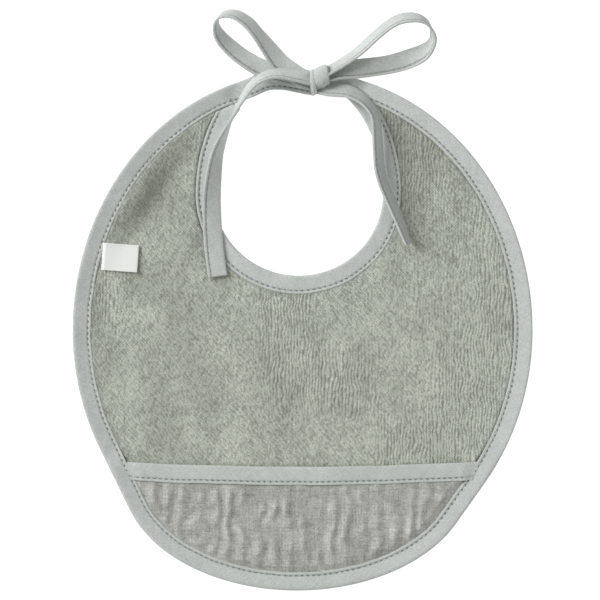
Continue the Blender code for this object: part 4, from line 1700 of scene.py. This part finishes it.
LEFT_LEAD_ROUTE = [
    (-0.0200, -0.0050, 0.0017, 180), (-0.0100, -0.0046, 0.0015, 180), (-0.0030, -0.0059, 0.0014, 180),
    (0.0038, -0.0072, 0.0014, 180),
]
RIGHT_LEAD_ROUTE = [(0.0206, -0.0064, 0.0015, 0), (0.0149, -0.0056, 0.0014, 0)]
LEFT_LOOP_ROUTE = [
    (0.0033, -0.0048, 0.0057, 0), (-0.0010, -0.0034, 0.0057, 1), (-0.0060, -0.0002, 0.0057, 3),
    (-0.0122, 0.0048, 0.0062, 13), (-0.0185, 0.0127, 0.0080, 34), (-0.0239, 0.0196, 0.0102, 48),
    (-0.0296, 0.0261, 0.0118, 52), (-0.0362, 0.0302, 0.0122, 58), (-0.0430, 0.0302, 0.0116, 72),
    (-0.0466, 0.0261, 0.0105, 98), (-0.0449, 0.0195, 0.0090, 128), (-0.0388, 0.0128, 0.0072, 146),
    (-0.0302, 0.0062, 0.0060, 154), (-0.0205, 0.0011, 0.0052, 166), (-0.0095, -0.0020, 0.0042, 178),
    (0.0036, -0.0046, 0.0038, 180),
]
RIGHT_LOOP_ROUTE = [
    (0.0140, 0.0002, 0.0088, 119), (0.0214, 0.0044, 0.0096, 119), (0.0279, 0.0087, 0.0115, 119),
    (0.0324, 0.0123, 0.0130, 120), (0.0371, 0.0166, 0.0145, 120), (0.0420, 0.0208, 0.0160, 120),
    (0.0466, 0.0243, 0.0172, 121), (0.0517, 0.0270, 0.0185, 123), (0.0576, 0.0281, 0.0190, 123),
    (0.0634, 0.0275, 0.0187, 116), (0.0680, 0.0246, 0.0175, 101), (0.0705, 0.0189, 0.0152, 80),
    (0.0692, 0.0137, 0.0126, 60), (0.0643, 0.0094, 0.0104, 28), (0.0549, 0.0056, 0.0088, -6),
    (0.0465, 0.0035, 0.0082, -20), (0.0384, 0.0023, 0.0078, -18), (0.0292, 0.0012, 0.0074, 4),
    (0.0222, 0.0001, 0.0070, 30), (0.0146, -0.0021, 0.0066, 50),
]
LEFT_TAIL_ROUTE = [
    (0.0062, -0.0044, 0.0088, 44), (0.0022, -0.0038, 0.0102, 47), (-0.0050, -0.0026, 0.0122, 52),
    (-0.0130, -0.0016, 0.0132, 58), (-0.0210, -0.0034, 0.0135, 62), (-0.0282, -0.0088, 0.0129, 67),
    (-0.0338, -0.0174, 0.0120, 76), (-0.0384, -0.0262, 0.0112, 90), (-0.0426, -0.0352, 0.0105, 108),
    (-0.0462, -0.0452, 0.0096, 126), (-0.0480, -0.0562, 0.0086, 142), (-0.0490, -0.0682, 0.0076, 154),
    (-0.0489, -0.0812, 0.0068, 163), (-0.0479, -0.0962, 0.0062, 170), (-0.0459, -0.1112, 0.0060, 175),
]
RIGHT_TAIL_ROUTE = [
    (0.0092, -0.0088, 0.0060, 134), (0.0140, -0.0099, 0.0072, 134), (0.0188, -0.0103, 0.0079, 134),
    (0.0235, -0.0107, 0.0084, 134), (0.0280, -0.0124, 0.0089, 130), (0.0334, -0.0160, 0.0094, 123),
    (0.0378, -0.0214, 0.0098, 118), (0.0398, -0.0270, 0.0100, 117), (0.0406, -0.0374, 0.0100, 120),
    (0.0411, -0.0455, 0.0100, 121), (0.0419, -0.0536, 0.0100, 122), (0.0442, -0.0617, 0.0100, 122),
    (0.0476, -0.0698, 0.0101, 122), (0.0520, -0.0806, 0.0102, 117), (0.0562, -0.0915, 0.0102, 111),
    (0.0573, -0.0940, 0.0102, 110),
]


class TieKind(Enum):
    """What a free stretch of the tie is: a loop or a tail."""

    LOOP = "object"
    TAIL = "bare"


@dataclass
class TieTape:
    """One stretch of the tie: tape folded in half lengthwise, its open edge closed by stitches."""

    name: str
    node: str
    route: Route
    kind: TieKind = TieKind.TAIL
    into_start: float = 0.0
    into_end: float = 0.0
    seed: int = 91
    width: float = 0.0105
    cloth: float = 1.3 * MM
    step: float = 0.9 * MM
    ripple: float = 0.13 * MM
    ripple_cell: Cell = (6.5 * MM, 5.0 * MM)
    ripple_lean: float = 0.5
    ripple_reach: float = 0.55
    thickness_lay: float = 4.0
    map_widths: float = 2.4
    stitch_inset: float = 1.8 * MM
    stitch_rise: float = 0.40 * MM
    stitch_radius: float = 0.22 * MM
    stitch_dip: float = 0.22 * MM
    root_before: float = 2 * MM
    root_after: float = 9 * MM

    def stations(self) -> np.ndarray:
        """Give the stations along the middle, with the straight runs into the knot.

        Returns:
            Rows of x, y, z and roll.
        """
        stations = smooth_curve(np.array(self.route, dtype=float), self.step)
        for reach, near, inner in ((self.into_start, 0, 1), (self.into_end, -1, -2)):
            if not reach:
                continue
            ahead = stations[near, :3] - stations[inner, :3]
            ahead /= np.linalg.norm(ahead)
            runs = np.arange(self.step, reach, self.step)[:, None]
            more = np.column_stack([stations[near, :3] + runs * ahead, np.full(len(runs), stations[near, 3])])
            stations = np.vstack([more[::-1], stations] if near == 0 else [stations, more])
        return stations

    def frames(self) -> tuple[np.ndarray, np.ndarray, np.ndarray]:
        """Give the tape's frames.

        Returns:
            The stations' middles, the directions to the stitched edge and the faces' normals.
        """
        stations = self.stations()
        tangents = np.gradient(stations[:, :3], axis=0)
        tangents /= np.linalg.norm(tangents, axis=1)[:, None]
        level = np.cross([0.0, 0.0, 1.0], tangents)
        level /= np.linalg.norm(level, axis=1)[:, None]
        upright = np.cross(tangents, level)
        roll = np.radians(stations[:, 3])[:, None]
        aside = level * np.cos(roll) + upright * np.sin(roll)
        return stations[:, :3], aside, np.cross(tangents, aside)

    def outline(self) -> np.ndarray:
        """Give the section, in millimetres, with the stitched edge at positive across.

        Returns:
            Its points as (across, thickness, openness), the openness a painted shade that is low in the
            stitch groove.
        """
        half, thick = self.width / 2 / MM, self.cloth / 2 / MM
        side = [
            (-half + 0.05, 0.30 * thick, 1.0), (-half + 0.28, 0.75 * thick, 1.0),
            (-half + 0.8, 0.98 * thick, 1.0), (-half + 2.0, 1.02 * thick, 1.0), (-1.5, 1.06 * thick, 1.0),
            (0.6, 1.04 * thick, 1.0), (half - 3.0, 1.0 * thick, 1.0), (half - 2.3, 0.92 * thick, 0.90),
            (half - 1.95, 0.68 * thick, 0.62), (half - 1.75, 0.62 * thick, 0.46),
            (half - 1.5, 0.80 * thick, 0.74), (half - 1.1, 1.0 * thick, 1.0),
            (half - 0.38, 1.03 * thick, 1.0), (half - 0.08, 0.82 * thick, 1.0), (half, 0.50 * thick, 1.0),
            (half - 0.02, 0.16 * thick, 1.0), (half - 0.06, 0.04 * thick, 0.85),
        ]
        back = [(across, -height, openness) for across, height, openness in reversed(side[:-1])]
        return np.array([(-half, 0.0, 1.0), *side, *back])

    def build(self) -> list[Piece]:
        """Make the tape and its stitches.

        Returns:
            The dressed pieces.
        """
        middle, aside, face = self.frames()
        rows = self.outline()
        along = run_lengths(middle)
        across, height = rows[:, 0] * MM, rows[:, 1] * MM
        leaned = along[:, None] + self.ripple_lean * across
        ripple = lattice_noise(leaned, across, self.ripple_cell, self.seed)
        bow = self.ripple * ripple * (1.0 - (np.abs(across) / (self.ripple_reach * self.width)) ** 4)
        sections = middle[:, None] + aside[:, None] * across[None, :, None]
        sections = sections + face[:, None] * (height[None] + bow)[..., None]
        folds = max(1, round(math.sqrt(along[-1] / (self.map_widths * self.width))))
        tape = skin(f"{self.name}_tape", sections, folds=folds)
        # Painted shade in the stitch groove, stored as the open attribute.
        write_shade(tape, "open", np.broadcast_to(rows[:, 2], bow.shape))
        write_bias_lay(tape, along[:, None], across + self.thickness_lay * height)
        line = middle + aside * (self.width / 2 - self.stitch_inset)
        seams = [
            Seam(
                line + up * self.stitch_rise, aside, up, radius=self.stitch_radius, dip=self.stitch_dip,
                seed=self.seed + number,
            )
            for number, up in ((1, face), (2, -face))
        ]
        stitches = stitch_rows(f"{self.name}_stitches", seams)
        return [dress(tape, TAPE, self.node), dress(stitches, THREAD, f"{self.name}_thread")]

    def hang(self, pieces: list[Piece]) -> None:
        """Bake the pieces' transforms into their meshes.

        Args:
            pieces: The tape and its stitches.
        """
        root = np.array(self.route[0][:3])
        if self.kind is TieKind.LOOP:
            root = (root + np.array(self.route[-1][:3])) / 2
        ahead = np.array(self.route[3][:3]) - root
        ahead /= np.linalg.norm(ahead)
        for piece in pieces:
            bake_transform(piece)

    def declare(self, pieces: list[Piece]) -> None:
        """Find the stations' middles, and do nothing with them.

        Args:
            pieces: The tape and its stitches; not used.
        """
        middle = self.stations()[:, :3]


@dataclass
class KnotTurn:
    """One turn of tape about the ties.

    Each of its edges has an x at the top, the front, the foot and the back, and a y at the top and the foot.
    """

    name: str
    left: tuple[float, float, float, float]
    right: tuple[float, float, float, float]
    left_ends: tuple[float, float]
    right_ends: tuple[float, float]
    seed: int
    crown: float = 0.40 * MM
    deep: tuple[float, float] = (7.1 * MM, 6.9 * MM)
    cloth: float = 1.3 * MM
    radius: float = 7 * MM
    around: int = 96
    outer_steps: int = 23
    inner_steps: int = 9
    smoothing: int = 30
    squareness: float = 2.5
    edge_round: float = 0.60 * MM
    edge_power: int = 9
    # Painted shade at the turn's edges and on its inside faces.
    edge_shade: float = 0.35
    edge_shade_power: int = 12
    inner_shade: float = 0.4
    gather: float = 0.22 * MM
    gather_from: float = 1.1
    gather_run: float = 0.7
    gather_end: float = 2.9
    gather_waves: float = 6.0
    gather_phase: float = 0.6
    uneven: float = 0.16 * MM
    uneven_cell: Cell = (5 * MM, 3.5 * MM)

    def build(self) -> Piece:
        """Make the turn as a ring of tape.

        Returns:
            The turn, not dressed yet.
        """
        quarter = np.linspace(0.0, 4.0, self.around, endpoint=False)
        turn = (1.0 + quarter) * math.pi / 2
        edges = [np.interp(quarter, range(5), (*edge, edge[0])) for edge in (self.left, self.right)]
        for _ in range(self.smoothing):
            edges = [(np.roll(edge, 1) + 2 * edge + np.roll(edge, -1)) / 4 for edge in edges]
        inner = np.linspace(1.0, -1.0, self.inner_steps)[1:-1]
        share = np.concatenate([np.linspace(-1.0, 1.0, self.outer_steps), inner])
        outer = np.arange(len(share)) < self.outer_steps
        blend = (share[None] + 1.0) / 2
        across = edges[0][:, None] * (1.0 - blend) + edges[1][:, None] * blend
        top, foot = (a * (1.0 - blend) + b * blend for a, b in zip(self.left_ends, self.right_ends))
        cosine, sine = np.cos(turn), np.sin(turn)
        power = self.squareness
        reach = (np.abs(cosine) ** power + np.abs(sine) ** power) ** (-1 / power)
        square = np.clip(1.0 - np.abs(share) ** self.edge_power, 0.0, 1.0)
        round_off = self.edge_round * (1.0 - np.sqrt(square))
        edge = np.where(outer, round_off + self.crown * share**2, self.cloth + self.crown)
        gathered = ease((quarter - self.gather_from) / self.gather_run) * ease(self.gather_end - quarter)
        fold = self.gather * np.cos(share[None] * self.gather_waves + self.gather_phase) * gathered[:, None]
        run = turn[:, None] * self.radius
        uneven = self.uneven * lattice_noise(run, across, self.uneven_cell, self.seed)
        out = (fold + uneven) * outer[None] - edge[None]
        y = (top + foot) / 2 + ((top - foot) / 2 + out) * (reach * sine)[:, None]
        z = self.deep[0] - (self.deep[1] + out) * (reach * cosine)[:, None]
        piece = skin(self.name, np.stack([across, y, z], axis=-1), ring=True)
        # Painted shade: darker at the turn's edges and on its inside faces, stored as the open attribute.
        dim = self.edge_shade * np.abs(share) ** self.edge_shade_power
        openness = np.where(outer, 1.0 - dim, self.inner_shade)
        write_shade(piece, "open", np.broadcast_to(openness, out.shape))
        write_bias_lay(piece, run, across)
        return piece


KNOT_TURN = KnotTurn(
    "knot_turn", (0.0056, 0.0061, 0.0082, 0.0068), (0.0125, 0.0143, 0.0152, 0.0134),
    (0.1412, 0.1295), (0.1446, 0.1330), seed=101,
)
KNOT_FOLD = KnotTurn(
    "knot_fold", (0.0040, 0.0039, 0.0051, 0.0046), (0.0062, 0.0070, 0.0087, 0.0078),
    (0.1409, 0.1272), (0.1412, 0.1274), seed=111, crown=0.45 * MM, deep=(7.0 * MM, 6.6 * MM),
)


@dataclass
class TiedBow:
    """The bow: two leads from the strap tips, the knot, two loops and two tails.

    The knot is a turn of tape pulled tight round the ties, with a narrow second fold on its left.
    """

    pattern: BibPattern
    lead_gap: float = 0.3 * MM
    lead_run: float = 5.0 * MM
    lead_height: float = 2.0 * MM
    tip_step: float = 0.5 * MM
    into_knot: float = 4.0 * MM

    def from_top(self, route: Route) -> Route:
        """Return a route whose y was given from the top of the round body in the bib's own frame."""
        return [(x, y + self.pattern.body_rise, *rest) for x, y, *rest in route]

    def strap_tip(self, flip: bool, roll: float) -> Route:
        """Give the two points with which a lead carries on from the end of the rim's tape.

        Args:
            flip: Whether it is the right strap.
            roll: The lead's roll in degrees.

        Returns:
            The start of the lead's route.
        """
        edge = self.pattern.strap_to_strap(self.pattern.rim(), self.pattern.strap_tip_width, self.tip_step)
        inward = left_normals(edge)
        if flip:
            edge, inward = edge[::-1], inward[::-1]
        ahead = edge[0] - edge[1]
        ahead /= np.linalg.norm(ahead)
        middle = edge[0] + inward[0] * self.pattern.leaf / 2
        return [(*(middle + ahead * run), self.lead_height, roll) for run in (self.lead_gap, self.lead_run)]

    def leads(self) -> list[np.ndarray]:
        """Give the leads, from the strap's tip into the knot.

        Returns:
            The stations of the left and the right lead's middle.
        """
        routes = [
            [*self.strap_tip(False, 180), *self.from_top(LEFT_LEAD_ROUTE)],
            [*self.strap_tip(True, 0), *self.from_top(RIGHT_LEAD_ROUTE)],
        ]
        return [TieTape("lead", "", route, into_end=self.into_knot).stations()[:, :3] for route in routes]

    def ties(self) -> list[TieTape]:
        """Give the free stretches of tie tape.

        Returns:
            Two loops and two tails.
        """
        loop, tail = TieKind.LOOP, TieKind.TAIL
        into = {loop: self.into_knot, tail: 0.0}
        rows = (
            ("left_loop", "left_bow_loop", LEFT_LOOP_ROUTE, loop, 141),
            ("right_loop", "right_bow_loop", RIGHT_LOOP_ROUTE, loop, 151),
            ("left_tail", "left_tie_tail", LEFT_TAIL_ROUTE, tail, 161),
            ("right_tail", "right_tie_tail", RIGHT_TAIL_ROUTE, tail, 171),
        )
        return [
            TieTape(name, node, self.from_top(route), kind, into[kind], into[kind], seed)
            for name, node, route, kind, seed in rows
        ]

    def build(self) -> None:
        """Make the bow: the knot, its second fold, and the loops and tails with their stitches."""
        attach(dress(KNOT_TURN.build(), TAPE, "bow_knot"), ROOT_BODY)
        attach(dress(KNOT_FOLD.build(), TAPE), ROOT_BODY)
        for tie in self.ties():
            pieces = tie.build()
            tie.hang(pieces)
            tie.declare(pieces)


# The studio


@dataclass
class Studio:
    """A pale floor, soft light from the upper left and a camera straight above."""

    view_width: float = 0.3261
    view_middle: tuple[float, float] = (-0.00136, 0.01631)
    camera_height: float = 1.80
    sensor: float = 36.0
    key: tuple[float, float, float] = (-1.25, 0.72, 1.00)
    key_power: float = 29.5
    key_size: float = 1.10
    fill: tuple[float, float, float] = (1.10, -0.90, 1.10)
    fill_power: float = 8.5
    fill_size: float = 1.40
    sky: float = 0.305
    floor_half: float = 4.0
    floor_drop: float = 0.1 * MM
    floor_glow: float = 0.88
    floor_patch: float = 3.0
    floor_greys: tuple[float, float] = (0.30, 0.33)
    floor_roughness: float = 0.9

    def build(self) -> None:
        """Set the floor, the light and the camera."""
        scene = bpy.context.scene
        scene.view_settings.view_transform = "Standard"
        self.add_floor()
        self.add_lights()
        camera = bpy.data.objects.new("camera", bpy.data.cameras.new("camera"))
        camera.data.sensor_width = self.sensor
        camera.data.lens = self.sensor * self.camera_height / self.view_width
        camera.location = (*self.view_middle, self.camera_height)
        scene.collection.objects.link(camera)
        scene.camera = camera

    def add_floor(self) -> None:
        """Lay a matt, almost white floor just under the bib."""
        signs = ((-1, -1), (1, -1), (1, 1), (-1, 1))
        corners = np.array([(x * self.floor_half, y * self.floor_half, -self.floor_drop) for x, y in signs])
        floor = link_mesh("pale_floor", corners, [[0, 1, 2, 3]], closed=False)
        material = bpy.data.materials.new("pale_floor")
        material.use_nodes = True
        tree = material.node_tree
        shader = tree.nodes["Principled BSDF"]
        fibre = add_node(tree, "ShaderNodeGroup", node_tree=ClothGroups.fibre())
        where = add_node(tree, "ShaderNodeTexCoord")
        tree.links.new(where.outputs["Object"], fibre.inputs["Vector"])
        fibre.inputs["Patch Scale"].default_value = self.floor_patch
        tint = blend_colours(tree, fibre.outputs["Patch"], *((grey,) * 3 for grey in self.floor_greys))
        tree.links.new(tint, shader.inputs["Base Color"])
        shader.inputs["Roughness"].default_value = self.floor_roughness
        shader.inputs["Emission Color"].default_value = (1.0, 1.0, 1.0, 1.0)
        shader.inputs["Emission Strength"].default_value = self.floor_glow
        floor.data.materials.append(material)

    def add_lights(self) -> None:
        """Add a soft key light, a weak fill opposite to it and an even sky."""
        scene = bpy.context.scene
        lights = (
            ("soft_key", self.key, self.key_power, self.key_size),
            ("soft_fill", self.fill, self.fill_power, self.fill_size),
        )
        for name, place, power, size in lights:
            lamp = bpy.data.lights.new(name, "AREA")
            lamp.shape = "DISK"
            lamp.size = size
            lamp.energy = power
            light = bpy.data.objects.new(name, lamp)
            light.location = place
            light.rotation_euler = (-Vector(place)).to_track_quat("-Z", "Y").to_euler()
            scene.collection.objects.link(light)
        world = bpy.data.worlds.new("even_sky")
        world.use_nodes = True
        sky = world.node_tree.nodes["Background"]
        sky.inputs["Color"].default_value = (1.0, 1.0, 1.0, 1.0)
        sky.inputs["Strength"].default_value = self.sky
        scene.world = world


def main() -> None:
    """Build and dress the bib, piece by piece, and set the studio."""
    logging.basicConfig(level=logging.INFO, format="%(message)s")
    pattern = BibPattern()
    rim, neck = pattern.rim(), pattern.neck()
    rim_gauge = EdgeGauge(rim, left_normals(rim))
    neck_gauge = EdgeGauge(neck, -left_normals(neck))
    Studio().build()
    bow = TiedBow(pattern)
    bow.build()

    lie = ClothLie()
    bindings = EdgeBindings(pattern)
    edges = [*bindings.build_rim(bow.leads()), *bindings.build_neck(rim_gauge)]
    front = TerryFront(pattern, lie).build(rim_gauge, neck_gauge)
    back = GauzeBack(pattern, Crinkle()).build()
    for piece in (front, back, *edges):
        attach(lie.settle(piece, rim_gauge), ROOT_BODY)
    pocket = CrumbPocket(pattern, Crinkle())
    tape, stitches, gauze = (lie.settle(piece, rim_gauge) for piece in pocket.build(rim_gauge))
    pocket.sew([tape, stitches, gauze], rim_gauge)
    side_label = SideLabel()
    label = lie.settle(side_label.build(lie), rim_gauge)
    side_label.hang(label)


if __name__ == "__main__":
    main()
